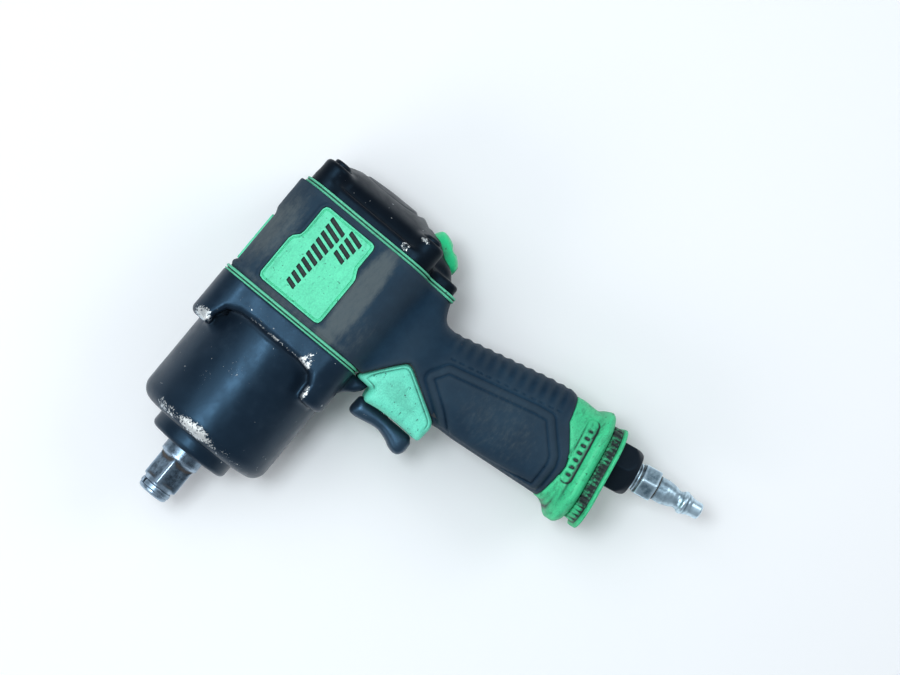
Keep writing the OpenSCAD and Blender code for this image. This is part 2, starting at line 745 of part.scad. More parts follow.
module rotor_vanes() color("saddlebrown") for (i = [0:vane_count - 1]) rotate([i * 360 / vane_count, 0, 0])
    block([liner_x + 0.3, vane_root_r, -vane_t / 2], [liner_end_x - 0.3, rotor_r - 0.4, vane_t / 2]);

module bearing_outer(x) tube_x(x, x + bearing_w, race_r - 0.02, ball_orbit_r + ball_r + 0.08);

module bearing_inner(x) tube_x(x, x + bearing_w, ball_orbit_r - ball_r - 0.02, shaft_r);

module front_bearing_outer() color("gainsboro") bearing_outer(front_bearing_x);

module front_bearing_inner() color("gainsboro") bearing_inner(front_bearing_x);

module rear_bearing_outer() color("gainsboro") bearing_outer(rear_bearing_x);

module rear_bearing_inner() color("gainsboro") bearing_inner(rear_bearing_x);

module bearing_balls() color("white")
    for (x = [front_bearing_x, rear_bearing_x], i = [0:ball_count - 1])
        translate([x + bearing_w / 2, 0, 0]) rotate([i * 360 / ball_count, 0, 0])
            translate([0, ball_orbit_r, 0]) sphere(ball_r, $fn = 32);

hammer_case();
front_gasket();
motor_housing();
rubber_sleeve();
side_badge_left();
side_badge_right();
top_badge();
trigger_surround();
rear_gasket();
rear_cap();
case_bolts();
bolt_washers();
regulator_dial();
dial_screw();
trigger();
grip_base();
exhaust_cover();
muffler();
inlet_bushing();
air_plug();
anvil();
friction_ring();
friction_o_ring();
anvil_bushing();
anvil_seal();
hammer_cage();
hammer_front();
hammer_rear();
hammer_pins();
front_end_plate();
rear_end_plate();
cylinder_liner();
liner_dowel();
rotor();
rotor_vanes();
front_bearing_outer();
front_bearing_inner();
rear_bearing_outer();
rear_bearing_inner();
bearing_balls();
reverse_valve();
valve_o_ring();
detent_ball();
detent_spring();
trigger_rod();
trigger_bushing();
trigger_pin();
throttle_valve();
valve_seat();
valve_spring();
spring_seat();
inlet_screen();
bushing_o_ring();
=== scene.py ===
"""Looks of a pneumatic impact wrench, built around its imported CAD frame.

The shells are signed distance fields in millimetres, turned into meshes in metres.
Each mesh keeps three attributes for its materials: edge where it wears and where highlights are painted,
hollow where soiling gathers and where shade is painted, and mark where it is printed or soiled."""

import json
import math

import bpy
import numpy as np
import openvdb
from mathutils import Matrix, Vector


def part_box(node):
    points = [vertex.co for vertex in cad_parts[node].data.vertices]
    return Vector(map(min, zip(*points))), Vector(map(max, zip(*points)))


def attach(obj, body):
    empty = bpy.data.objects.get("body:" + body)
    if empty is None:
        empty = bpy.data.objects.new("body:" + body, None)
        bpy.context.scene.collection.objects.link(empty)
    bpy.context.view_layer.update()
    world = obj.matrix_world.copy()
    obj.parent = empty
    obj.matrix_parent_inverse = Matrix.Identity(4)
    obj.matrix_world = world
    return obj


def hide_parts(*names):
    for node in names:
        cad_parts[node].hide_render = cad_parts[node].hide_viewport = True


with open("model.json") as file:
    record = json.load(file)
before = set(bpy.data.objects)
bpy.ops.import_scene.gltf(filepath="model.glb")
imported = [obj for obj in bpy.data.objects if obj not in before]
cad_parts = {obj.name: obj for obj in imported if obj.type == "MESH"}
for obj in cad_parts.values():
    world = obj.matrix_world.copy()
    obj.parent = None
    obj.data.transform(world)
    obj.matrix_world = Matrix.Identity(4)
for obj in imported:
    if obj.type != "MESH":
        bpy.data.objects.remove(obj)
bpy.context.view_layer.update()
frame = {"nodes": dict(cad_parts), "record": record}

MM = 0.001


def corners(node):
    """Lowest and highest corner of a CAD node, in millimetres."""
    low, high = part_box(node)
    return np.array(low) / MM, np.array(high) / MM


def mount(name):
    return next(m for m in frame["record"]["mounts"] if m["name"] == name)


# Places along the barrel, in millimetres
gasket_low, gasket_high = corners("front_gasket")
sleeve_low, sleeve_high = corners("rubber_sleeve")
rear_low, rear_high = corners("rear_gasket")
cap_low, cap_high = corners("rear_cap")
GASKET_X, SLEEVE_X = gasket_low[0], gasket_high[0]
SLEEVE_END_X, CAP_X, CAP_END_X = rear_low[0], rear_high[0], cap_high[0]
HALF_W = sleeve_high[2]
CASE_TOP = gasket_high[1]
BODY_TOP = sleeve_high[1]
BODY_LOW = 35.0
CASE_R = mount("case_barrel")["dims"]["r_mm"]
CAVITY_R = 29.8  # room of the clutch
BORE_R = 30.05  # bore that takes the motor housing
BOLT_Z, BOLT_HIGH, BOLT_LOW = 26.5, 26.5, 25.0
BOLT_HOLE_R = 2.75
DRIVE_TURN = math.radians(38)  # the square drive's turn about the barrel

# The grip's own axes: down the grip, and rearward across it
nose = mount("air_plug_nose")
DOWN = np.array(nose["axis"][:2]) / np.hypot(*nose["axis"][:2])
REAR = np.array([-DOWN[1], DOWN[0]])
INLET_T = 4.0  # the air inlet's axis, behind the grip's own
NOSE_S = 157.7  # the plug's nose, down the grip
GRIP_ORIGIN = np.array(nose["pos_m"][:2]) / MM - NOSE_S * DOWN - INLET_T * REAR

# The regulator's own axes: outward along the dial, and upward across it
turn_joint = next(j for j in frame["record"]["behaviour"]["joints"] if j["name"] == "regulator_turn")
DIAL_AT = np.array(turn_joint["pos_m"][:2]) / MM
DIAL_OUT = np.array(turn_joint["axis"][:2]) / np.hypot(*turn_joint["axis"][:2])
DIAL_UP = np.array([-DIAL_OUT[1], DIAL_OUT[0]])


# ---------------------------------------------------------------- camera, light and floor
def look():
    """A camera above the handle, aimed at the tool's middle and turned as a hand-held one would be."""
    camera = bpy.data.objects.new("Camera", bpy.data.cameras.new("Camera"))
    camera.data.sensor_width = 36
    camera.data.lens = 88.6
    place, aim = Vector((0.09, -0.008, 1.0)), Vector((0.1395, -0.059, 0))
    turn = math.radians(-50.4)
    back = (place - aim).normalized()
    right = Vector((-math.sin(turn), math.cos(turn), 0)).cross(back).normalized()
    up = back.cross(right)
    camera.matrix_world = Matrix((right, up, back)).transposed().to_4x4()
    camera.location = place
    camera.data.clip_start = 0.01
    bpy.context.collection.objects.link(camera)
    bpy.context.scene.camera = camera


def area_light(name, place, target, size, power, colour=(1, 1, 1)):
    light = bpy.data.lights.new(name, "AREA")
    light.shape = "RECTANGLE"
    light.size, light.size_y = size
    light.energy = power
    light.color = colour
    o = bpy.data.objects.new(name, light)
    o.location = place
    o.rotation_euler = (Vector(target) - Vector(place)).to_track_quat("-Z", "Y").to_euler()
    bpy.context.collection.objects.link(o)


def studio():
    world = bpy.data.worlds.new("World")
    world.use_nodes = True
    world.node_tree.nodes["Background"].inputs["Color"].default_value = (0.8, 0.9, 1, 1)
    world.node_tree.nodes["Background"].inputs["Strength"].default_value = 0.36
    bpy.context.scene.world = world
    bpy.context.scene.view_settings.view_transform = "Standard"
    area_light("Overhead", (0.05, 0.22, 1.15), (0.09, -0.03, 0), (0.26, 0.26), 5.2, (0.8, 0.92, 1))
    area_light("Soft", (0.05, 0.5, 1.2), (0.09, -0.03, 0), (1.1, 1.0), 6.5, (0.84, 0.93, 1))
    area_light("Side", (-0.8, 0.35, 0.7), (0.1, -0.05, 0), (0.5, 0.5), 2.4, (0.9, 0.96, 1))
    area_light("Back", (0.85, -0.5, 0.8), (0.1, -0.05, 0), (0.5, 0.5), 2.4, (0.9, 0.96, 1))
    floor = bpy.data.meshes.new("floor")
    reach, floor_z = 3.0, -HALF_W * MM - 0.0002
    round_it = ((-reach, -reach), (reach, -reach), (reach, reach), (-reach, reach))
    floor.from_pydata([(x, y, floor_z) for x, y in round_it], [], [(0, 1, 2, 3)])
    o = bpy.data.objects.new("floor", floor)
    bpy.context.collection.objects.link(o)
    floor.materials.append(floor_material())


# ---------------------------------------------------------------- distance fields
class Space:
    """A regular grid of points over a box, in millimetres."""

    def __init__(self, low, high, step, local=False):
        self.step = step * 1
        self.local = local
        self.low = np.array(low, float) - 2.5 * self.step
        counts = np.ceil((np.array(high, float) - self.low) / self.step).astype(int) + 4
        axes = [(self.low[i] + self.step * np.arange(counts[i])).astype(np.float32) for i in range(3)]
        self.x = axes[0][:, None, None]
        self.y = axes[1][None, :, None]
        self.z = axes[2][None, None, :]
        self.shape = tuple(counts)

    def along(self, origin, first, second):
        """Coordinates from an origin along two directions in the XY plane."""
        dx, dy = self.x - origin[0], self.y - origin[1]
        return dx * first[0] + dy * first[1], dx * second[0] + dy * second[1]

    def grip(self):
        """Coordinates down the grip and rearward across it."""
        return self.along(GRIP_ORIGIN, DOWN, REAR)

    def dial(self):
        """Coordinates outward along the dial's axis and upward across it."""
        return self.along(DIAL_AT, DIAL_OUT, DIAL_UP)


def smax(a, b, k):
    """The larger of two fields, with a rounded edge of about k."""
    h = np.maximum(k - np.abs(a - b), 0) / k
    return np.maximum(a, b) + h * h * k * 0.25


def smin(a, b, k):
    return -smax(-a, -b, k)


def disc(a, b, r, ca=0.0, cb=0.0):
    return np.hypot(a - ca, b - cb) - r


def plate(a, b, low, high, r=0.0):
    """A rectangle from low to high with rounded corners."""
    qa = np.abs(a - (low[0] + high[0]) / 2) - (high[0] - low[0]) / 2 + r
    qb = np.abs(b - (low[1] + high[1]) / 2) - (high[1] - low[1]) / 2 + r
    return np.hypot(np.maximum(qa, 0), np.maximum(qb, 0)) + np.minimum(np.maximum(qa, qb), 0) - r


def outline(a, b, points):
    """Signed distance to a closed outline."""
    a, b = np.broadcast_arrays(a, b)
    nearest = np.full(a.shape, 1e9, np.float32)
    inside = np.zeros(a.shape, bool)
    for (a0, b0), (a1, b1) in zip(points, points[1:] + points[:1]):
        ea, eb = a1 - a0, b1 - b0
        pa, pb = a - a0, b - b0
        t = np.clip((pa * ea + pb * eb) / (ea * ea + eb * eb), 0, 1)
        nearest = np.minimum(nearest, (pa - ea * t) ** 2 + (pb - eb * t) ** 2)
        if b0 != b1:
            inside ^= ((b0 > b) != (b1 > b)) & (a < ea * (b - b0) / eb + a0)
    return np.where(inside, -1, 1).astype(np.float32) * np.sqrt(nearest)


def drawn(a, b, points):
    """A closed outline in the plane of a and b, worked out once for all z."""
    return outline(a[:, :, 0], b[:, :, 0], points)[:, :, None]


def extruded(flat, along, r=0.0):
    """A flat field extruded through along, the distance beyond its ends, with edges of radius r."""
    qa, qb = flat + r, along + r
    return np.hypot(np.maximum(qa, 0), np.maximum(qb, 0)) + np.minimum(np.maximum(qa, qb), 0) - r


def span(a, low, high):
    return np.abs(a - (low + high) / 2) - (high - low) / 2


def fade(a, start, end):
    """0 at start, rising to 1 at end."""
    return np.clip((a - start) / (end - start), 0, 1)


def ridge(a, width):
    """1 where a is 0, falling to 0 at width on both sides."""
    return np.clip(1 - np.abs(a) / width, 0, 1)


def hexagon(a, b, flats):
    return np.maximum.reduce(np.broadcast_arrays(
        *[np.abs(a * math.cos(k * math.pi / 3) + b * math.sin(k * math.pi / 3)) - flats / 2 for k in range(3)]
    ))


def cut(body, tool, k=0.0):
    return smax(body, -tool, k) if k else np.maximum(body, -tool)


def blurred(field, width):
    """The field averaged twice over a short run along each axis, close to a Gaussian blur."""
    for axis in range(field.ndim):
        if field.shape[axis] < 3 or width < 1:
            continue
        for _ in range(2):
            pad = [(0, 0)] * field.ndim
            pad[axis] = (width + 1, width)
            total = np.cumsum(np.pad(field, pad, mode="edge"), axis=axis, dtype=np.float64)
            n = field.shape[axis]
            late = np.take(total, range(2 * width + 1, 2 * width + 1 + n), axis=axis)
            early = np.take(total, range(0, n), axis=axis)
            field = ((late - early) / (2 * width + 1)).astype(np.float32)
    return field


def waves(space, scale, seed, amount):
    """Smooth random relief made of a few sine waves."""
    rng = np.random.default_rng(seed)
    total = 0
    for _ in range(5):
        k = rng.normal(size=3) / scale
        total = total + np.sin(space.x * k[0] + space.y * k[1] + space.z * k[2] + rng.uniform(0, 6.28))
    return (amount / 3 * total).astype(np.float32)


def sample(field, space, points):
    """Trilinear values of a field at points."""
    place = (points - space.low) / space.step
    base = np.clip(np.floor(place).astype(int), 0, np.array(space.shape) - 2)
    f = np.clip(place - base, 0, 1)
    total = np.zeros(len(points))
    for corner in range(8):
        o = np.array([corner >> 2 & 1, corner >> 1 & 1, corner & 1])
        weight = np.prod(np.where(o, f, 1 - f), axis=1)
        i = base + o
        total += weight * field[i[:, 0], i[:, 1], i[:, 2]]
    return total


SHARPNESS = 0.22  # the bend that counts as a full edge, as a share of its size


def solid(name, space, field, replaces, body="tool", slot=None, detail=1.2, mark=None):
    """Makes a mesh object from a field. detail is the size, in millimetres, of the edges and hollows that
    carry wear, soiling and painted light.
    mark is the strength, from 0 to 1, of print or soil on the surface."""
    field = np.array(np.broadcast_to(field, space.shape), np.float32)
    grid = openvdb.FloatGrid()
    grid.background = 10.0
    grid.copyFromArray(field)
    points, triangles, quads = grid.convertToPolygons(0.0, 0.0)
    points = points * space.step + space.low
    reach = max(1, round(detail / space.step))
    bend = (blurred(field, reach) - field) / (detail * SHARPNESS)
    bend = sample(bend, space, points)
    dark = np.zeros(len(points))
    if mark is not None:
        dark = sample(np.broadcast_to(mark, space.shape), space, points)
    if space.local:
        s, t = points[:, 0], points[:, 1]
        flat = GRIP_ORIGIN + s[:, None] * DOWN + t[:, None] * REAR
        points = np.column_stack([flat, points[:, 2]])
    mesh = bpy.data.meshes.new(name)
    corners_of = np.concatenate([quads.ravel(), triangles.ravel()]).astype(np.int32)
    sizes = np.concatenate([np.full(len(quads), 4), np.full(len(triangles), 3)]).astype(np.int32)
    mesh.vertices.add(len(points))
    mesh.loops.add(len(corners_of))
    mesh.polygons.add(len(sizes))
    mesh.vertices.foreach_set("co", (points * MM).astype(np.float32).ravel())
    mesh.loops.foreach_set("vertex_index", corners_of)
    mesh.polygons.foreach_set("loop_start", np.concatenate([[0], np.cumsum(sizes)[:-1]]).astype(np.int32))
    mesh.polygons.foreach_set("use_smooth", np.ones(len(sizes), bool))
    mesh.update(calc_edges=True)
    mesh.validate()
    for label, value in (("edge", bend), ("hollow", -bend), ("mark", dark)):
        mesh.attributes.new(label, "FLOAT", "POINT").data.foreach_set(
            "value", np.clip(value, 0, 1).astype(np.float32)
        )
    o = bpy.data.objects.new(name, mesh)
    bpy.context.collection.objects.link(o)
    outward(o)
    mesh.materials.append(material(slot))
    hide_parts(*replaces)
    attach(o, body)
    return o


def outward(o):
    """Turns the faces outward: the enclosed volume has to be positive."""
    mesh = o.data
    mesh.calc_loop_triangles()
    n = len(mesh.loop_triangles)
    tri = np.empty(n * 3, np.int32)
    mesh.loop_triangles.foreach_get("vertices", tri)
    co = np.empty(len(mesh.vertices) * 3, np.float32)
    mesh.vertices.foreach_get("co", co)
    p = co.reshape(-1, 3)[tri.reshape(-1, 3)].astype(np.float64)
    if np.einsum("ij,ij->i", p[:, 0], np.cross(p[:, 1], p[:, 2])).sum() < 0:
        mesh.flip_normals()


# ---------------------------------------------------------------- materials
class Shader:
    """A node tree with short helpers around its Principled node."""

    def __init__(self, name):
        self.material = bpy.data.materials.new(name)
        self.material.use_nodes = True
        self.tree = self.material.node_tree
        self.principled = self.tree.nodes["Principled BSDF"]
        self.coords = self.tree.nodes.new("ShaderNodeTexCoord").outputs["Object"]

    def link(self, source, socket):
        if isinstance(source, (int, float)):
            socket.default_value = source
        elif isinstance(source, tuple):
            alpha = (1,) if len(source) < len(socket.default_value) else ()
            socket.default_value = source + alpha
        else:
            self.tree.links.new(source, socket)

    def math(self, operation, a, b=0.0, clamp=False):
        node = self.tree.nodes.new("ShaderNodeMath")
        node.operation = operation
        node.use_clamp = clamp
        self.link(a, node.inputs[0])
        self.link(b, node.inputs[1])
        return node.outputs[0]

    def mul(self, a, b):
        return self.math("MULTIPLY", a, b)

    def add(self, a, b, clamp=False):
        return self.math("ADD", a, b, clamp)

    def noise(self, scale, detail=4.0, rough=0.6, stretch=None):
        node = self.tree.nodes.new("ShaderNodeTexNoise")
        node.inputs["Scale"].default_value = scale
        node.inputs["Detail"].default_value = detail
        node.inputs["Roughness"].default_value = rough
        coords = self.coords
        if stretch:
            mapping = self.tree.nodes.new("ShaderNodeMapping")
            mapping.inputs["Scale"].default_value = stretch
            self.tree.links.new(coords, mapping.inputs["Vector"])
            coords = mapping.outputs[0]
        self.tree.links.new(coords, node.inputs["Vector"])
        return node.outputs["Fac"]

    def attribute(self, name):
        node = self.tree.nodes.new("ShaderNodeAttribute")
        node.attribute_name = name
        return node.outputs["Fac"]

    def ramp(self, source, low, high, to_low=0.0, to_high=1.0):
        """source taken smoothly from low..high to to_low..to_high."""
        node = self.tree.nodes.new("ShaderNodeMapRange")
        node.interpolation_type = "SMOOTHSTEP"
        self.link(source, node.inputs["Value"])
        for name, value in zip(("From Min", "From Max", "To Min", "To Max"), (low, high, to_low, to_high)):
            node.inputs[name].default_value = value
        return node.outputs["Result"]

    def mix(self, fac, a, b):
        node = self.tree.nodes.new("ShaderNodeMix")
        node.data_type = "RGBA"
        self.link(fac, node.inputs["Factor"])
        self.link(a, node.inputs[6])
        self.link(b, node.inputs[7])
        return node.outputs[2]

    def blend(self, fac, a, b):
        node = self.tree.nodes.new("ShaderNodeMix")
        self.link(fac, node.inputs["Factor"])
        self.link(a, node.inputs[2])
        self.link(b, node.inputs[3])
        return node.outputs[0]

    def near(self, centre, radii):
        """1 at a place, falling to 0 at radii from it, all in millimetres."""
        mapping = self.tree.nodes.new("ShaderNodeMapping")
        mapping.inputs["Location"].default_value = tuple(-c / r for c, r in zip(centre, radii))
        mapping.inputs["Scale"].default_value = tuple(1 / (r * MM) for r in radii)
        self.tree.links.new(self.coords, mapping.inputs["Vector"])
        length = self.tree.nodes.new("ShaderNodeVectorMath")
        length.operation = "LENGTH"
        self.tree.links.new(mapping.outputs[0], length.inputs[0])
        return self.ramp(length.outputs["Value"], 0.35, 1.0, 1.0, 0.0)

    def bump(self, height, distance, strength=1.0):
        node = self.tree.nodes.new("ShaderNodeBump")
        node.inputs["Distance"].default_value = distance
        node.inputs["Strength"].default_value = strength
        self.link(height, node.inputs["Height"])
        self.tree.links.new(node.outputs["Normal"], self.principled.inputs["Normal"])

    def finish(self, colour, rough, metal=None, **uniform):
        self.link(colour, self.principled.inputs["Base Color"])
        self.link(rough, self.principled.inputs["Roughness"])
        if metal is not None:
            self.link(metal, self.principled.inputs["Metallic"])
        for name, value in uniform.items():
            self.principled.inputs[name.replace("_", " ")].default_value = value
        return self.material


def floor_material():
    s = Shader("floor")
    tone = s.noise(3.0, 3.0)
    return s.finish(s.mix(tone, (1.0, 0.945, 0.92), (1.0, 0.965, 0.94)), 0.8, Specular_IOR_Level=0.2)


def worn_paint(name, paint, scuffs_and_highlights, gloss=0.28, shine=0.42, dusty=0.12):
    """Dark glossy paint over cast metal, with speckled bare metal in the scuffed places; on the case one of
    them is also a painted highlight.
    """
    s = Shader(name)
    fine = s.noise(1150, 4.0, 0.75)
    middle = s.noise(420, 4.0, 0.7)
    broad = s.noise(120, 5.0, 0.65)
    rub = 0.0
    for centre, radii, amount in scuffs_and_highlights:
        rub = s.add(rub, s.mul(s.near(centre, radii), amount), True)
    wear = s.mul(rub, s.add(s.mul(s.attribute("edge"), 0.3), 0.46))
    for grain, amount in ((broad, 0.6), (middle, 1.1), (fine, 1.7)):
        wear = s.add(wear, s.mul(s.math("SUBTRACT", grain, 0.5), amount))
    bare = s.ramp(wear, 0.5, 0.6)
    speckle = s.ramp(s.noise(560, 2.0, 0.5), 0.745, 0.765)
    bare = s.add(bare, s.mul(speckle, 0.6), True)
    metal_tone = s.mix(s.noise(300, 6.0), (0.6, 0.61, 0.6), (0.95, 0.94, 0.9))
    paint_tone = s.mix(broad, paint, tuple(c * 1.6 + 0.002 for c in paint))
    dust = s.ramp(s.noise(60, 6.0, 0.7), 0.5, 0.8, 0.0, dusty)
    paint_tone = s.mix(s.add(dust, s.mul(s.attribute("hollow"), 0.1), True), paint_tone, (0.05, 0.065, 0.075))
    colour = s.mix(bare, paint_tone, metal_tone)
    rough = s.blend(bare, s.ramp(broad, 0.3, 0.75, gloss, gloss + 0.14), 0.45)
    relief = s.add(s.mul(bare, -0.6), s.add(s.mul(s.noise(700, 3.0), 0.35), s.mul(broad, 0.5)))
    s.bump(relief, 0.00012, 0.55)
    return s.finish(colour, rough, bare, Specular_IOR_Level=shine, Specular_Tint=(0.34, 0.66, 1, 1))


def green_plastic(name, light, dark, grime_and_shade, rough=0.5, grain=2600):
    s = Shader(name)
    broad = s.noise(70, 6.0, 0.65)
    fine = s.noise(grain, 3.0, 0.6)
    smear = s.noise(160, 8.0, 0.72, stretch=(1, 3, 1))
    mottle = s.add(s.mul(s.ramp(broad, 0.3, 0.7), 0.5), s.mul(s.ramp(fine, 0.36, 0.64), 0.5))
    colour = s.mix(mottle, dark, light)
    # painted highlight: the edges are painted a lighter green
    colour = s.mix(s.mul(s.attribute("edge"), 0.35), colour, tuple(min(1, c * 1.25 + 0.03) for c in light))
    # soiling and painted shade: the hollows are darkened towards near black, along with the smears
    hollow_soil_and_shade = s.mul(s.attribute("hollow"), min(1, 0.5 + grime_and_shade))
    dirt_and_shade = s.add(s.mul(s.ramp(smear, 0.48, 0.78), grime_and_shade), hollow_soil_and_shade, True)
    spots = s.mul(s.ramp(s.noise(620, 2.0), 0.66, 0.72), 0.7)
    print_or_soil = s.math("SUBTRACT", s.mul(s.attribute("mark"), 2.2), s.mul(s.noise(230, 6.0, 0.7), 1.6))
    dirt_and_shade = s.add(s.add(dirt_and_shade, spots, True), s.ramp(print_or_soil, 0.0, 0.5), True)
    colour = s.mix(dirt_and_shade, colour, (0.006, 0.014, 0.013))
    s.bump(s.add(s.mul(fine, 0.6), s.mul(s.noise(300, 3.0), 0.6)), 0.00008, 0.6)
    return s.finish(colour, s.ramp(smear, 0.2, 0.8, rough - 0.08, rough + 0.16), Specular_IOR_Level=0.4)


def rubber(name):
    """Charcoal overmoulding: dusty and rubbed on its upper part and below the badge, dark on the ribs, with
    shade painted darker into its hollows.
    """
    s = Shader(name)
    broad = s.noise(55, 7.0, 0.68)
    streak = s.noise(240, 8.0, 0.75, stretch=(1, 2.2, 1))
    fine = s.noise(3200, 3.0, 0.6)
    base = s.mix(s.ramp(broad, 0.3, 0.72), (0.008, 0.022, 0.042), (0.014, 0.036, 0.062))
    places = (
        ((127, 30, 27), (32, 12, 22), 0.8),
        ((127, -15, 36), (38, 8.5, 14), 1.2),
        ((103, 5, 37), (4, 40, 10), 0.6),
        ((112, -25, 33), (16, 10, 20), 0.35),
        ((122, -100, 21), (22, 34, 14), 0.3),
    )
    rub = 0.0
    for centre, radii, amount in places:
        rub = s.add(rub, s.mul(s.near(centre, radii), amount), True)
    dust = s.mul(s.ramp(s.add(s.mul(rub, 0.7), s.mul(streak, 0.9)), 0.55, 1.25), 0.75)
    colour = s.mix(dust, base, (0.13, 0.145, 0.14))
    colour = s.mix(s.mul(s.attribute("edge"), 0.25), colour, (0.07, 0.08, 0.085))
    # painted shade: the hollows are painted darker
    colour = s.mix(s.mul(s.attribute("hollow"), 0.8), colour, (0.003, 0.004, 0.005))
    s.bump(s.add(s.mul(fine, 0.8), s.mul(streak, 0.7)), 0.00012, 0.7)
    rough = s.ramp(streak, 0.2, 0.8, 0.5, 0.7)
    return s.finish(colour, rough, Specular_IOR_Level=0.16, Specular_Tint=(0.4, 0.75, 1, 1))


def steel(name, dark, light, rough, rust=0.0, scale=260):
    """Used steel: bright on its edges, darker and dull in its hollows."""
    s = Shader(name)
    broad = s.noise(scale, 6.0, 0.66)
    fine = s.noise(scale * 9, 4.0, 0.6, stretch=(1, 1, 5))
    colour = s.mix(s.ramp(broad, 0.32, 0.68), dark, light)
    colour = s.mix(s.mul(s.attribute("edge"), 0.9), colour, tuple(min(1, c * 1.25 + 0.12) for c in light))
    soil = s.add(s.mul(s.attribute("hollow"), 0.9), s.mul(s.ramp(s.noise(500, 5.0), 0.55, 0.72), rust), True)
    colour = s.mix(soil, colour, (0.05, 0.036, 0.026))
    roughness = s.add(s.ramp(broad, 0.3, 0.7, rough, rough + 0.15), s.mul(soil, 0.3), True)
    s.bump(s.add(s.mul(fine, 0.4), s.mul(broad, 0.6)), 0.00006, 0.7)
    return s.finish(colour, roughness, s.ramp(soil, 0.2, 1.0, 1.0, 0.35))


def plain_part(name, dark, light, rough, metal=0.0, scale=400):
    """A machined or moulded inner part: two tones, fine grain and bump."""
    s = Shader(name)
    broad = s.noise(scale, 5.0)
    fine = s.noise(scale * 8, 3.0)
    colour = s.mix(s.ramp(broad, 0.3, 0.7), dark, light)
    s.bump(s.add(s.mul(fine, 0.5), broad), 0.00005, 0.5)
    return s.finish(colour, s.ramp(fine, 0.3, 0.7, rough, rough + 0.12), metal)


CASE_SCUFFS_AND_HIGHLIGHT = (
    ((36.2, 3, 31.5), (5.2, 13, 8), 1.0),
    ((36.0, 18, 25), (4.6, 12, 10), 0.72),
    ((35.6, -11, 29), (4.0, 9, 9), 0.42),
    ((66, 7, 33), (9, 8, 5), 0.4),
    ((56, 14, 30), (9, 5, 6), 0.33),
    ((77.5, 32, 33), (5, 7, 8), 0.95),
    ((89.5, -15.5, 37), (6, 5, 4), 0.95),
    ((94, -16, 37), (6, 3, 4), 0.5),
    ((79, -23.4, 36), (6, 3, 5), 0.7),
    # partly wear, partly a painted highlight: a thin line of bare metal along the lip of the flank recess
    ((88.6, 2, 37), (1.5, 24, 3), 0.86),
    ((92, 12, 37), (5, 18, 3), 0.34),
    ((34, -22, 24), (5, 8, 8), 0.36),
)
CAP_SCUFFS = (
    ((156, -17, 33.5), (3, 3.6, 5), 0.75),
    ((163.5, -22, 31), (2.4, 4.4, 6), 0.66),
    ((166, 20, 28), (5, 8, 8), 0.3),
)
# Each slot's maker and what it is made with: tones, then soiling and painted shade, or roughness
MATERIALS = {
    "case_paint": (worn_paint, (0.0045, 0.0095, 0.017), CASE_SCUFFS_AND_HIGHLIGHT, 0.3),
    "cap_black": (worn_paint, (0.002, 0.003, 0.005), CAP_SCUFFS, 0.34, 0.17, 0.0),
    "trigger_black": (worn_paint, (0.012, 0.022, 0.034), (), 0.3, 0.85),
    "black_oxide": (worn_paint, (0.004, 0.005, 0.007), (), 0.42, 0.25, 0.0),
    "green_gasket": (green_plastic, (0.12, 0.56, 0.33), (0.06, 0.34, 0.2), 0.4),
    "badge_green": (green_plastic, (0.125, 0.74, 0.42), (0.07, 0.46, 0.26), 0.35, 0.55, 1400),
    "surround_green": (green_plastic, (0.17, 0.78, 0.55), (0.1, 0.54, 0.37), 0.3, 0.5, 1600),
    "base_green": (green_plastic, (0.045, 0.62, 0.26), (0.025, 0.33, 0.15), 0.75, 0.5, 1500),
    "dial_green": (green_plastic, (0.02, 0.72, 0.28), (0.012, 0.5, 0.19), 0.2, 0.36),
    "sleeve_rubber": (rubber,),
    "plug_steel": (steel, (0.14, 0.22, 0.28), (0.46, 0.6, 0.68), 0.28, 0.3),
    "anvil_steel": (steel, (0.03, 0.05, 0.07), (0.2, 0.28, 0.36), 0.24, 0.3),
    "bolt_steel": (steel, (0.3, 0.3, 0.29), (0.5, 0.5, 0.48), 0.32, 0.2),
    "housing_composite": (plain_part, (0.02, 0.02, 0.023), (0.045, 0.045, 0.05), 0.5),
    "spring_steel": (plain_part, (0.4, 0.4, 0.4), (0.6, 0.6, 0.6), 0.25, 1.0),
    "bronze": (plain_part, (0.45, 0.28, 0.1), (0.65, 0.45, 0.2), 0.3, 1.0),
    "seal_rubber": (plain_part, (0.01, 0.01, 0.01), (0.025, 0.025, 0.025), 0.6),
    "hammer_steel": (plain_part, (0.2, 0.2, 0.21), (0.38, 0.38, 0.38), 0.35, 1.0),
    "motor_steel": (plain_part, (0.45, 0.45, 0.46), (0.62, 0.62, 0.62), 0.25, 1.0),
    "vane_composite": (plain_part, (0.16, 0.08, 0.03), (0.3, 0.17, 0.08), 0.55),
    "bearing_steel": (plain_part, (0.6, 0.6, 0.6), (0.8, 0.8, 0.8), 0.12, 1.0),
    "valve_aluminium": (plain_part, (0.55, 0.55, 0.56), (0.75, 0.75, 0.75), 0.3, 1.0),
    "muffler_felt": (plain_part, (0.3, 0.28, 0.2), (0.55, 0.52, 0.42), 0.9, 0.0, 900),
}
made_materials = {}


def material(slot):
    if slot not in made_materials:
        maker, *settings = MATERIALS[slot]
        made_materials[slot] = maker(slot, *settings)
    return made_materials[slot]


# ---------------------------------------------------------------- hammer case
def body_section(y, z, top, inset=0.0, r=13.0):
    """Rounded square across the barrel."""
    half = HALF_W - inset
    return plate(z, y, (-half, -BODY_LOW + inset), (half, top - inset), r - inset * 0.5)


def bolt_places():
    return [(y, z) for y in (BOLT_HIGH, -BOLT_LOW) for z in (-BOLT_Z, BOLT_Z)]


def chin(s):
    chin_outline = [
        (85, -26), (GASKET_X, -26), (GASKET_X, -44.2), (95.6, -43.2), (92.8, -41), (88.2, -34.4),
    ]
    return extruded(outline(s.x, s.y, chin_outline), np.abs(s.z) - 15.8, 2.5)


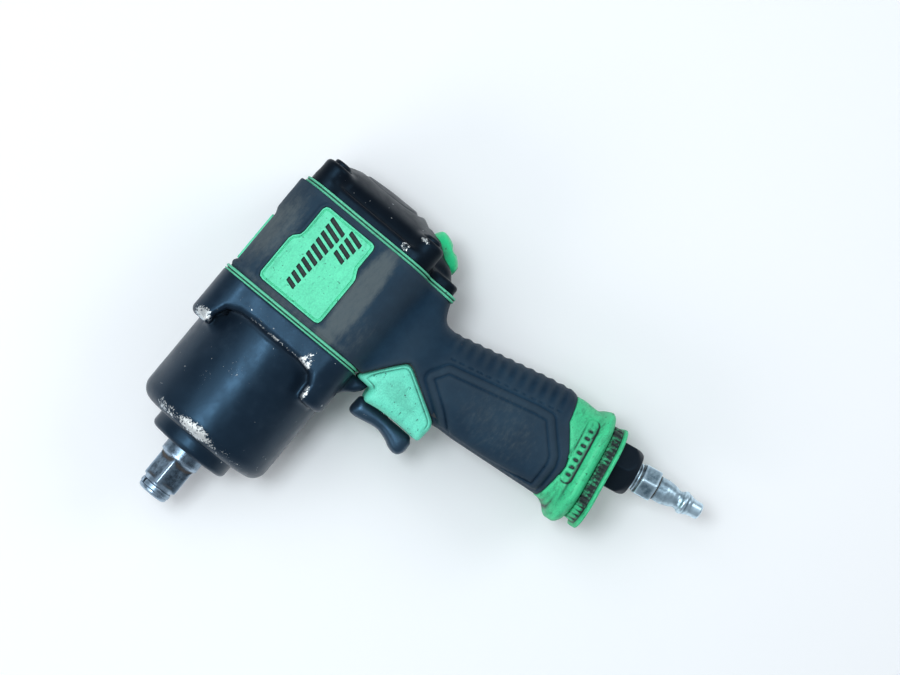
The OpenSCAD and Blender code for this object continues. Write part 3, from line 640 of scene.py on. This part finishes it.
def hammer_case():
    low, high = corners("hammer_case")
    s = Space(low, high, 0.5)
    radius = np.hypot(s.y, s.z)
    shell = plate(s.x, radius, (32.7, -CASE_R), (GASKET_X + 7, CASE_R), 7.2)
    collar = plate(s.x, radius, (low[0], -20), (60, 20), 2.4)
    turned = smin(shell, collar, 1.6)
    # Square rear block whose lugs stand round the barrel
    block = extruded(body_section(s.y, s.z, CASE_TOP), span(s.x, 75, GASKET_X + 5), 3.2)
    side = outline(
        s.x, s.y,
        [(60, -22), (76.6, -22.8), (83, -22.4), (86.6, -19.8), (88, -13.4), (88.5, 11.5), (88, 20),
         (85.6, 25.6), (80, 28.2), (74.5, 27), (60, 26.6)],
    )
    side = np.maximum(side, 22 - np.abs(s.z))
    block = cut(block, side, 3.0)
    crown = plate(s.x, s.z, (50, -17), (88, 17), 6)
    block = cut(block, np.maximum(crown, 12 - np.abs(s.y)), 3.0)
    case = smin(turned, block, 3.4)
    case = smin(case, chin(s), 4.0)
    case = np.maximum(case, s.x - GASKET_X)
    case = case + waves(s, 5.5, 3, 0.045)
    # Cavity of the clutch and the bores of the nose
    case = cut(case, np.maximum(radius - CAVITY_R, span(s.x, 37, 120)))
    case = cut(case, np.maximum(radius - BORE_R, span(s.x, 96, 120)))
    case = cut(case, np.maximum(radius - 10.25, span(s.x, 0, 30)))
    case = cut(case, np.maximum(radius - 13.5, span(s.x, 27, 40)))
    for y, z in bolt_places():
        case = cut(case, np.maximum(disc(s.y, s.z, 2.55, y, z), span(s.x, 82, 120)))
    return solid("hammer_case_shell", s, case, ["hammer_case"], slot="case_paint", detail=1.6)


def front_gasket():
    s = Space(gasket_low, gasket_high, 0.3)
    section = body_section(s.y, s.z, CASE_TOP + 0.1)
    foot = plate(s.z, s.y, (-19, gasket_low[1]), (19, 0), 2)
    section = np.minimum(section, foot)
    ring = extruded(section, span(s.x, GASKET_X, SLEEVE_X), 0.6)
    ring = cut(ring, extruded(np.abs(section) - 0.9, np.abs(s.x - GASKET_X - 1.1) - 0.3), 0.3)
    ring = cut(ring, np.hypot(s.y, s.z) - BORE_R)
    for y, z in bolt_places():
        ring = cut(ring, disc(s.y, s.z, BOLT_HOLE_R, y, z))
    return solid("front_gasket_ring", s, ring, ["front_gasket"], slot="green_gasket", detail=0.7)


# ---------------------------------------------------------------- sleeve and badges
# Outlines seen from the side, in x and y
SURROUND = [
    (98.8, -35.8), (101.4, -37.8), (109, -43.4), (116.6, -49.6), (118.3, -51.6), (117.6, -54.4),
    (104.8, -75.8), (102.4, -77.2), (93.4, -76.6), (94, -71), (94.3, -63.8), (93.8, -54),
    (92.5, -46.2), (95.4, -45), (98.8, -45),
]
# The side badge as drawn against the barrel's axis, and its scale: it lies nearer the camera
BADGE_SEEN = [
    (105.4, 22.6), (106.0, 24.8), (108.0, 25.9), (127.6, 25.9), (129.9, 25.2), (132.4, 22.8), (134.6, 22.3),
    (147.6, 22.3), (149.4, 21.5), (150.0, 19.6), (150.0, -4.9), (149.4, -6.8), (147.5, -7.5), (137, -7.5),
    (134.8, -8.4), (132.6, -9.7), (130.6, -10.0), (108.2, -10.0), (106.0, -9.2), (105.4, -7.2),
]
BADGE_SCALE, BADGE_FROM = 0.966, (90, -5)
BADGE = [
    tuple(round(c + (p - c) * BADGE_SCALE, 1) for p, c in zip(point, BADGE_FROM)) for point in BADGE_SEEN
]
PANEL = [(119.8, -64.6), (125.7, -68.1), (136.4, -108.4), (137.4, -114.5), (126.2, -125.6), (122.9, -126.9),
         (111.7, -127.5), (103.2, -87.7), (111.9, -76.5)]
# And these down the grip and across it
GRIP_FRONT = [(-12, -20.6), (38, -20.9), (46, -22.0), (90.5, -25.4), (112, -26)]
GRIP_BACK = [(112, 22.4), (86, 22.5), (81.5, 24.2), (70, 24.0), (40, 21.9), (18.6, 20.4), (12, 20.4),
             (-12, 21)]
GRIP_OUTLINE = GRIP_FRONT + GRIP_BACK
BASE_LINE = [(90.5, -27), (94.4, -7.9), (92.5, -1), (88.2, 7), (86.4, 10), (85.2, 27)]

RIB_PITCH, DASH_PITCH = 5.2, 4.4
SKIN = 2.9  # thickness of the rubber
FAR = 60.0  # well outside the grip


def badge_outline(s):
    return drawn(s.x, s.y, BADGE)


def grip_field(s, d, t):
    """The grip as a rounded bar between its front and rear outlines."""
    flat = drawn(d, t, GRIP_OUTLINE)
    return smax(flat, np.abs(s.z) - 21, 17)


def sleeve_body(s):
    section = body_section(s.y, s.z, BODY_TOP)
    bar = extruded(section, span(s.x, SLEEVE_X - 6, SLEEVE_END_X + 6), 1.0)
    neck = drawn(
        s.x, s.y,
        [(99, -20), (170, -20), (170, -46), (SLEEVE_END_X, -49), (SLEEVE_END_X - 4, -50.4), (120, -56),
         (99, -50)],
    )
    neck = smax(neck, np.abs(s.z) - 23, 12)
    return smin(bar, neck, 11)


def rubber_sleeve():
    s = Space(sleeve_low, sleeve_high, 0.5)
    d, t = s.grip()
    body = sleeve_body(s)
    grip = grip_field(s, d, t)
    # Ribs over the rear of the grip
    ribs = np.sin(2 * np.pi * (d - 24) / RIB_PITCH)
    rib_zone = fade(t, 11, 17) * fade(d, 22, 26) * fade(d, 84, 80)
    grip = grip + rib_zone * (0.3 - 0.3 * ribs)
    skin = smin(body, grip, 9)
    # Side panel and the raised band round it, parted by a fine groove
    panel = drawn(s.x, s.y, PANEL)
    on_side = fade(np.abs(s.z), 11, 15)
    skin = skin - on_side * 0.75 * np.clip(0.5 - (panel - 3.3) / 1.6, 0, 1)
    skin = skin + on_side * 0.45 * ridge(panel - 4.4, 0.8)
    skin = skin + on_side * 0.75 * ridge(panel, 0.75)
    # Dashed line between the panel and the ribs
    dash = ridge(t - 7.4 - 0.058 * d, 0.5) * (np.sin(2 * np.pi * d / DASH_PITCH) > -0.3)
    dash = dash * fade(d, 24, 26) * fade(d, 82, 80)
    skin = skin + on_side * 0.5 * dash
    # Pockets of the badges, with a raised lip round the side ones
    badge = badge_outline(s)
    flank = fade(np.abs(s.z), 30, 32)
    skin = skin + flank * 0.55 * ridge(badge - 1.0, 0.9)
    skin = cut(skin, np.maximum(badge, (HALF_W - 1.45) - np.abs(s.z)))
    # The top dips round its badge, whose edge shows from the side
    skin = skin + 1.2 * fade(s.x, 104.2, 105.7) * fade(s.x, 134.5, 131.5) * fade(s.y, 30, 34)
    top_pocket = extruded(plate(s.x, s.z, (105.8, -13), (131.2, 13), 2), (BODY_TOP - 1.25) - s.y)
    skin = cut(skin, top_pocket)
    # Step behind the front gasket
    skin = skin + 0.7 * fade(s.x, SLEEVE_X + 1.6, SLEEVE_X + 0.8) * fade(s.y, -30, -26)
    # Hollow it out, softly
    whole = np.broadcast_to(skin, s.shape).astype(np.float32)
    skin = np.maximum(skin, -(blurred(whole, 2) + SKIN))
    # Ends: the gaskets, the surround and the grip base
    skin = np.maximum(skin, span(s.x, SLEEVE_X, SLEEVE_END_X) + 0 * s.y - FAR * (s.y < -49))
    skin = np.maximum(skin, s.x - SLEEVE_END_X - FAR / 2 * (s.y < -51))
    front = drawn(
        s.x, s.y,
        [(80, -20), (SLEEVE_X, -20), (SLEEVE_X, -37.8), (109, -43.4), (104, -60), (103, -77.2), (80, -77.2)],
    )
    skin = cut(skin, np.minimum(drawn(s.x, s.y, SURROUND) - 0.15, front), 0.8)
    end_line = [(-110, -FAR), (BASE_LINE[0][0], -FAR), *BASE_LINE, (85.2, FAR), (-110, FAR)]
    skin = smax(skin, drawn(d, t, end_line), 0.6)
    skin = cut(skin, np.hypot(s.y, s.z) - BORE_R)
    return solid("rubber_sleeve_skin", s, skin, ["rubber_sleeve"], slot="sleeve_rubber", detail=1.4)


def side_badge(name, side):
    low, high = corners(name)
    s = Space(low, high, 0.28)
    flat = badge_outline(s)
    outer = HALF_W - 0.1
    depth = s.z * side
    plateau = extruded(flat + 0.25, span(depth, HALF_W - 1.4, outer), 0.35)
    plateau = cut(plateau, extruded(flat + 1.2, (outer - 0.3) - depth), 0.2)
    plateau = cut(plateau, extruded(np.abs(flat + 1.35) - 0.3, (outer - 0.85) - depth), 0.2)
    # A plain pattern of slanted dark bars
    bars = np.full(s.shape[:2] + (1,), 9.0, np.float32)
    for i in range(10):
        lean = s.x - 0.3 * s.y - (108.5 + 3.5 * i)
        bars = np.minimum(bars, np.maximum(np.abs(lean) - 0.95, span(s.y, 9.0 - 0.25 * i, 13.6 + 0.2 * i)))
    for i in range(4):
        lean = s.x - 0.3 * s.y - (133.0 + 3.5 * i)
        bars = np.minimum(bars, np.maximum(np.abs(lean) - 0.95, span(s.y, -0.5 - 0.5 * i, 5.2)))
    plateau = cut(plateau, np.maximum(bars, (outer - 0.8) - depth), 0.2)
    shown = np.clip(0.5 - np.maximum(bars - 0.15, np.abs(depth - outer) - 1.2) / s.step, 0, 1)
    return solid(f"{name}_plate", s, plateau, [name], slot="badge_green", detail=0.6, mark=shown)


def top_badge():
    low, high = corners("top_badge")
    s = Space(low, high, 0.28)
    rim = 1.4
    face = plate(s.x, s.z, (low[0], low[2]), (high[0], high[2]), 1.8)
    block = extruded(face, span(s.y, low[1], high[1]), 0.4)
    inner = plate(s.x, s.z, (low[0] + rim, low[2] + rim), (high[0] - rim, high[2] - rim), 1.2)
    recess = extruded(inner, high[1] - 0.4 - s.y)
    return solid("top_badge_plate", s, cut(block, recess, 0.2), ["top_badge"], slot="badge_green", detail=0.6)


def trigger_surround():
    low, high = corners("trigger_surround")
    s = Space(low, high, 0.35)
    d, t = s.grip()
    flat = outline(s.x[:, :, 0], s.y[:, :, 0], SURROUND)
    flat = blurred(flat, 3)[:, :, None]
    body = smax(flat, np.abs(s.z) - 22.1, 6)
    # Fine groove inside the rim
    body = body + 0.45 * ridge(flat + 1.9, 0.5) * fade(s.x, 99, 101)
    core = smax(drawn(d, t, GRIP_OUTLINE) + 3.2, np.abs(s.z) - 17.8, 12)
    body = cut(body, core)
    slot = extruded(plate(s.y, s.z, (-76, -9.7), (-43.4, 9.7), 3), span(s.x, 80, 100.7))
    body = cut(body, slot, 0.8)
    body = cut(body, np.maximum(span(s.x, 80, SLEEVE_X), -36.4 - s.y))
    body = cut(body, chin(s) - 0.15)
    body = cut(body, np.maximum(body_section(s.y, s.z, BODY_TOP, 3.0), SLEEVE_X - s.x))
    return solid("trigger_surround_shell", s, body, ["trigger_surround"], slot="surround_green", detail=0.9)


# ---------------------------------------------------------------- trigger
def trigger():
    low, high = corners("trigger")
    s = Space(low, high, 0.28)
    side = outline(
        s.x[:, :, 0], s.y[:, :, 0],
        [(93.9, -44.4), (86.6, -44.0), (84.7, -45.0), (84.6, -48), (85.4, -52), (86.5, -57), (86.6, -61),
         (85.2, -65.6), (83.4, -69), (82.8, -71.6), (83.4, -74.2), (86.0, -75.5), (91, -75.5),
         (93.6, -73.2)],
    )
    side = blurred(side, 3)[:, :, None]
    body = smax(side, np.abs(s.z) - 9, 5.0)
    body = cut(body, np.maximum(disc(s.y, s.z, 2.52, -58, 0), 88 - s.x))
    body = cut(body, np.maximum(disc(s.x, s.y, 1.02, 91, -58), np.abs(s.z) - 7.5))
    return solid("trigger_shell", s, body, ["trigger"], "trigger", "trigger_black", detail=1.0)


# ---------------------------------------------------------------- rear
def rear_gasket():
    s = Space(rear_low, rear_high, 0.35)
    section = body_section(s.y, s.z, BODY_TOP - 0.9, 0.9)
    neck = plate(s.z, s.y, (-22, rear_low[1]), (22, 0), 7)
    section = smin(section, neck, 4)
    ring = extruded(section, span(s.x, SLEEVE_END_X, CAP_X), 0.7)
    ring = cut(ring, extruded(np.abs(section) - 0.9, np.abs(s.x - SLEEVE_END_X - 1.35) - 0.3), 0.3)
    ring = cut(ring, np.hypot(s.y, s.z) - 22)
    ring = cut(ring, disc(s.y, s.z, 2.6, -32, 0))
    for y, z in bolt_places():
        ring = cut(ring, disc(s.y, s.z, BOLT_HOLE_R, y, z))
    return solid("rear_gasket_ring", s, ring, ["rear_gasket"], slot="green_gasket", detail=0.7)


def rear_cap():
    s = Space(cap_low, cap_high, 0.45)
    out, up = s.dial()
    # Flange against the gasket
    flange = plate(s.z, s.y, (-33.4, -32.8), (33.4, 33.8), 12)
    neck = plate(s.z, s.y, (-20, cap_low[1] + 0.6), (20, 0), 6)
    flange = smin(flange, neck, 5)
    flange = extruded(flange, span(s.x, 140, CAP_X + 4.4), 1.4)
    # Dome behind it, with a rounded rear
    side = drawn(
        s.x, s.y,
        [(150, 32.4), (163, 32.4), (168.8, 27), (172.8, 17), (CAP_END_X - 0.2, 2), (CAP_END_X - 0.2, -12.2),
         (174.2, -16.6), (171.4, -20.8), (170.4, -28.2), (165, -34.2), (162.2, -40.6), (158.6, -46),
         (156.8, -47.4), (150, -48)],
    )
    section = plate(s.z, s.y, (-30.6, -30.4), (30.6, 31.2), 13)
    neck = plate(s.z, s.y, (-17, cap_low[1] + 2), (17, 0), 8)
    dome = smax(smin(section, neck, 9), side, 9)
    dome = smax(dome, s.x + 0.42 * np.abs(s.z) - CAP_END_X - 2.6, 8)
    cap = smin(flange, dome, 1.4)
    # Shallow groove round the rear face
    rings = np.hypot(s.y - 2, s.z)
    cap = cap + 1.1 * ridge(rings - 15, 2.0) * fade(s.x, 170, 172)
    for y, z in bolt_places():
        boss = extruded(disc(s.y, s.z, 7.2, y, z), span(s.x, 150, 165.5), 2.0)
        cap = smin(cap, boss, 2.6)
    # Raised rim round the dial
    rim = extruded(np.abs(np.hypot(up, s.z) - 11.4) - 1.0, out + 1.4, 0.8)
    cap = smin(cap, np.maximum(rim, -4 - out), 1.6)
    cap = np.maximum(cap, CAP_X - s.x)
    cap = cap + waves(s, 5.0, 8, 0.04)
    for y, z in bolt_places():
        cap = cut(cap, disc(s.y, s.z, BOLT_HOLE_R, y, z))
        cap = cut(cap, np.maximum(disc(s.y, s.z, 4.9, y, z), 164 - s.x), 0.7)
    cap = cut(cap, np.maximum(np.hypot(s.y, s.z) - 20, s.x - 164))
    cap = cut(cap, np.maximum(disc(s.y, s.z, 2.6, -32, 0), s.x - 157.5))
    cap = cut(cap, np.maximum(np.hypot(up, s.z) - 5.55, -9.2 - out))
    cap = cut(cap, np.maximum(np.hypot(up, s.z) - 10.4, -4.8 - out), 0.6)
    return solid("rear_cap_shell", s, cap, ["rear_cap"], slot="cap_black", detail=1.4)


def regulator_dial():
    low, high = corners("regulator_dial")
    s = Space(low, high + np.array([1.5, 0, 0]), 0.28)
    out, up = s.dial()
    radius = np.hypot(up, s.z)
    # Round-edged disc with a finger bar across its face
    dial = smax(radius - 10.15, span(out, -4.45, 6.6), 5.0)
    dial = smax(dial, out + 0.02 * radius**2 - 6.5, 1.5)
    scoops = np.hypot(np.hypot(out - 9.6, up), np.abs(s.z) - 6.4) - 5.2
    dial = cut(dial, scoops, 1.0)
    dial = cut(dial, np.maximum(radius - 3.5, 2.5 - out), 0.2)
    dial = cut(dial, radius - 2.1)
    dial = cut(dial, np.maximum(plate(s.z, up, (-3.05, -3.05), (3.05, 3.05)), out + 0.4))
    return solid("regulator_dial_knob", s, dial, ["regulator_dial"], "regulator", "dial_green", detail=0.8)


def dial_screw():
    low, high = corners("dial_screw")
    s = Space(low, high, 0.18)
    out, up = s.dial()
    radius = np.hypot(up, s.z)
    shank = extruded(radius - 1.95, span(out, -6.45, 3))
    crown = np.sqrt(radius**2 + (out + 1.3) ** 2) - 6.2
    head = smax(extruded(radius - 3.38, span(out, 2.62, 4.9), 0.3), crown, 0.4)
    screw = np.minimum(shank, head)
    cross = np.minimum(plate(up, s.z, (-1.9, -0.42), (1.9, 0.42)), plate(up, s.z, (-0.42, -1.9), (0.42, 1.9)))
    screw = cut(screw, np.maximum(cross, 3.6 - out), 0.15)
    return solid("dial_screw_head", s, screw, ["dial_screw"], "regulator", "bolt_steel", detail=0.5)


def case_bolts():
    low, high = corners("case_bolts")
    head_low, head_high = high[0] - 4.95, high[0] - 2.1
    for i, (y0, z0) in enumerate(bolt_places()):
        s = Space((low[0], y0 - 4.3, z0 - 4.3), (high[0], y0 + 4.3, z0 + 4.3), 0.3)
        radius = disc(s.y, s.z, 0, y0, z0)
        turn = np.arctan2(s.z - z0, s.y - y0)
        thread = 0.12 * np.sin(2 * np.pi * s.x / 1.0 - turn) * fade(s.x, 100, 98)
        shank = extruded(radius - 2.35 + thread, span(s.x, low[0], head_high - 1), 0.4)
        head = extruded(radius - 4.15, span(s.x, head_low, head_high), 1.1)
        bolt = np.minimum(shank, head)
        socket = np.maximum(hexagon(s.y - y0, s.z - z0, 4.0), head_high - 1.8 - s.x)
        bolt = cut(bolt, socket, 0.2)
        solid(f"case_bolt_{i + 1}", s, bolt, ["case_bolts"], slot="black_oxide", detail=0.7)


# ---------------------------------------------------------------- foot of the grip
def interpolated(a, stops, values):
    """Values that run straight from stop to stop."""
    return np.interp(a, stops, values).astype(np.float32)


def lofted(s, stops, front, back, half, r=16.0):
    """A bar down the grip whose front, back and half width change along it."""
    run = s.x[:, 0, 0]
    f, b, h = (interpolated(run, stops, v)[:, None, None] for v in (front, back, half))
    return plate(s.y, s.z, (f, -h), (b, h), r)


def grip_base():
    s = Space((83, -34, -26.5), (107, 25, 26.5), 0.38, local=True)
    stops = [80, 90, 94, 96.5, 98.6, 100.4, 101.8, 103.2, 104.6, 105.4, 106.2]
    front = [-24.6, -25.6, -26.4, -28.2, -31.0, -32.2, -32.3, -31.6, -30.2, -29.0, -28.0]
    back = [22.6, 22.4, 21.6, 21.2, 21.5, 22.6, 23.4, 23.6, 22.8, 21.8, 20.4]
    half = [21.2, 21.4, 21.7, 21.9, 22.4, 24.2, 25.2, 25.4, 24.7, 23.6, 22.4]
    cup = lofted(s, stops, front, back, half)
    cup = smax(cup, span(s.x, 80, 106.2), 1.2)
    cup = smax(cup, drawn(s.x, s.y, [*BASE_LINE, (130, FAR), (130, -FAR)]), 0.8)
    # Outlined pill with plain dimples on both sides
    pill = plate(s.x, s.y, (93.9, -14.7), (99.3, 16.6), 2.7)
    dimples = np.full((s.shape[0], s.shape[1], 1), 9.0, np.float32)
    for i in range(7):
        dimples = np.minimum(dimples, plate(s.x, s.y, (95.3, -11.4 + 3.6 * i), (97.9, -9.8 + 3.6 * i), 0.7))
    sides = fade(np.abs(s.z), 13, 15)
    cup = cup + 0.55 * sides * ridge(pill, 0.5)
    cup = cup + 0.5 * sides * fade(dimples, 0.25, -0.25)
    soil = 0.36 * ridge(s.x - 104.6, 3.4) + 0.26 * fade(pill, 0.5, -0.5)
    core = smax(drawn(s.x, s.y, GRIP_OUTLINE) + 3.1, np.abs(s.z) - 17.9, 12)
    cup = cut(cup, core)
    return solid("grip_base_cup", s, cup, ["grip_base"], slot="base_green", detail=1.0, mark=soil)


def exhaust_cover():
    s = Space((106.2, -31, -22.8), (113.4, 21, 22.8), 0.32, local=True)
    stops = [106, 107, 110.2, 111.2, 111.8, 112.8, 113.4]
    front = [-27.4, -27.6, -28.0, -28.4, -30.0, -30.2, -29.6]
    back = [18.8, 19.0, 19.0, 19.0, 19.8, 19.8, 19.2]
    half = [20.6, 20.8, 20.8, 21.0, 22.4, 22.4, 22.0]
    foot = smax(lofted(s, stops, front, back, half, 14.5), span(s.x, 106.4, 113.3), 0.6)
    # Fine upright ribs on its side, over the exhaust
    ribs = np.sin(2 * np.pi * s.y / 2.1)
    foot = foot + 0.35 * np.clip(ribs, 0, 1) * fade(s.x, 111, 110.4)
    soil = 0.52 * fade(s.x, 111.2, 110.4) * np.clip((s.y + 27) / 8, 0.45, 1)
    foot = cut(foot, disc(s.y, s.z, 9.6, INLET_T, 0))
    foot = cut(foot, np.maximum(disc(s.y, s.z, 13.0, INLET_T, 0), 111.9 - s.x))
    for z in (-8, 0, 8):
        foot = cut(foot, disc(s.y, s.z, 2.6, -16, z), 0.5)
    return solid("exhaust_cover_foot", s, foot, ["exhaust_cover"], slot="base_green", detail=0.9, mark=soil)


def inlet_bushing():
    s = Space((96.2, INLET_T - 12.8, -12.8), (126.1, INLET_T + 12.8, 12.8), 0.3, local=True)
    t = s.y - INLET_T
    radius = np.hypot(t, s.z)
    turn = np.arctan2(s.z, t)
    thread = 0.35 * np.sin(2 * np.pi * s.x / 1.6 - turn) * fade(s.x, 110, 108)
    stem = extruded(radius - 9.1 + thread, span(s.x, 96.2, 114), 0.4)
    head = smax(hexagon(t, s.z, 22), span(s.x, 112, 126), 0.8)
    head = smax(head, radius + 0.55 * (s.x - 112) - 17.6, 0.6)
    head = smax(head, radius - 12.75, 0.4)
    # Turned neck where the hexagon meets the cover
    head = head + 0.5 * ridge(s.x - 113.2, 0.6)
    part = np.minimum(stem, head)
    part = cut(part, radius - 6.2)
    part = cut(part, np.maximum(radius - 6.95, 115 - s.x), 0.3)
    return solid("inlet_bushing_hex", s, part, ["inlet_bushing"], slot="black_oxide", detail=0.9)


def air_plug():
    s = Space((115.9, INLET_T - 8.4, -8.4), (161.4, INLET_T + 8.4, 8.4), 0.24, local=True)
    t = s.y - INLET_T
    radius = np.hypot(t, s.z)
    turn = np.arctan2(s.z, t)
    run = s.x[:, 0, 0]
    profile = [(115, 5.6), (116, 5.9), (129.0, 6.75), (129.4, 6.3), (137.0, 6.3), (137.6, 5.7), (138.2, 5.75),
               (142.4, 5.85), (144.4, 5.5), (146.6, 4.95), (148.4, 4.2), (149.4, 4.15), (150.6, 4.7),
               (151.6, 5.5), (152.6, 5.55), (153.4, 5.0), (154.4, 4.8), (155.6, 4.2), (157.0, 4.0),
               (158.4, 3.95), (160.4, 3.9), (161.2, 3.3)]
    stops, radii = zip(*profile)
    lathe = radius - interpolated(run, stops, radii)[:, None, None]
    height = 2 * np.abs(((s.x / 1.41 - turn / (2 * np.pi)) % 1) - 0.5)
    thread = 0.42 * height * fade(s.x, 129.4, 128.4)
    lathe = smax(lathe + thread, span(s.x, 116, 161.2), 0.5)
    nut = smax(hexagon(t, s.z, 14.3), span(s.x, 129.2, 137.2), 0.5)
    nut = smax(nut, radius - 8.15, 0.4)
    nut = smax(nut, radius + 0.6 * (np.abs(s.x - 133.2)) - 10.2, 0.4)
    plug = smin(lathe, nut, 0.3)
    plug = cut(plug, radius - 2.8, 0.3)
    return solid("air_plug_body", s, plug, ["air_plug"], slot="plug_steel", detail=0.7)


# ---------------------------------------------------------------- anvil
def across_drive(s):
    """Coordinates across the flats of the turned square."""
    cos, sin = math.cos(DRIVE_TURN), math.sin(DRIVE_TURN)
    return s.y * cos + s.z * sin, -s.y * sin + s.z * cos


def anvil():
    low, high = corners("anvil")
    s = Space((0, low[1], low[2]), high, 0.3)
    radius = np.hypot(s.y, s.z)
    run = s.x[:, 0, 0]
    a, b = across_drive(s)
    profile = [(0, 6.3), (0.9, 7.25), (2.0, 7.25), (2.05, 5.0), (4.6, 5.0), (4.65, 7.25), (6.4, 7.25),
               (7.4, 6.2), (17.2, 6.2), (19.6, 9.6), (30.4, 9.6), (30.6, 10.5), (43.4, 10.5), (43.5, 13),
               (45.4, 13), (45.5, 8.5), (78, 8.5), (78.1, 6), (84, 6)]
    stops, radii = zip(*profile)
    lathe = radius - interpolated(run, stops, radii)[:, None, None]
    lathe = smax(lathe, span(s.x, 0.0, 84), 0.5)
    square = smax(np.abs(a) - 6.35, np.abs(b) - 6.35, 1.0)
    square = smax(square, radius - 8.85, 0.5)
    # Flats that run out into the shank through a sloped shoulder
    shoulder = np.minimum(s.x - 17.6 - 0.55 * np.maximum(radius - 6.35, 0), s.x - 20)
    square = smax(square, 5.7 - s.x, 0.8)
    square = smax(square, shoulder - 2.4, 0.6)
    part = smin(lathe, square, 0.9)
    # One jaw for each hammer, on opposite sides
    for x0, side in ((51.5, 1), (64.5, -1)):
        ring = np.maximum(radius - 11.8, span(s.x, x0, x0 + 11.5))
        jaw = np.maximum(ring, np.maximum(np.abs(b) - 4.5, -side * a))
        part = np.minimum(part, jaw)
    part = part + waves(s, 3.0, 5, 0.03) * (s.x < 18)
    return solid("anvil_drive", s, part, ["anvil"], "anvil", "anvil_steel", detail=0.8)


def friction_ring():
    low, high = corners("friction_ring")
    s = Space(low, high, 0.16)
    radius = np.hypot(s.y, s.z)
    ring = smax(np.abs(radius - 7.0) - 0.68, span(s.x, low[0], high[0]), 0.5)
    a, b = across_drive(s)
    ring = cut(ring, np.maximum(np.abs(b) - 0.7, -a), 0.2)
    return solid("friction_ring_split", s, ring, ["friction_ring"], "anvil", "anvil_steel", detail=0.5)


# ---------------------------------------------------------------- the scene
look()
studio()
hammer_case()
front_gasket()
rubber_sleeve()
side_badge("side_badge_left", 1)
side_badge("side_badge_right", -1)
top_badge()
trigger_surround()
trigger()
rear_gasket()
rear_cap()
regulator_dial()
dial_screw()
case_bolts()
grip_base()
exhaust_cover()
inlet_bushing()
air_plug()
anvil()
friction_ring()

slots = {part["node"]: part["material_slot"] for part in frame["record"]["subparts"]}
for name, o in frame["nodes"].items():
    o.data.materials.clear()
    o.data.materials.append(material(slots[name]))
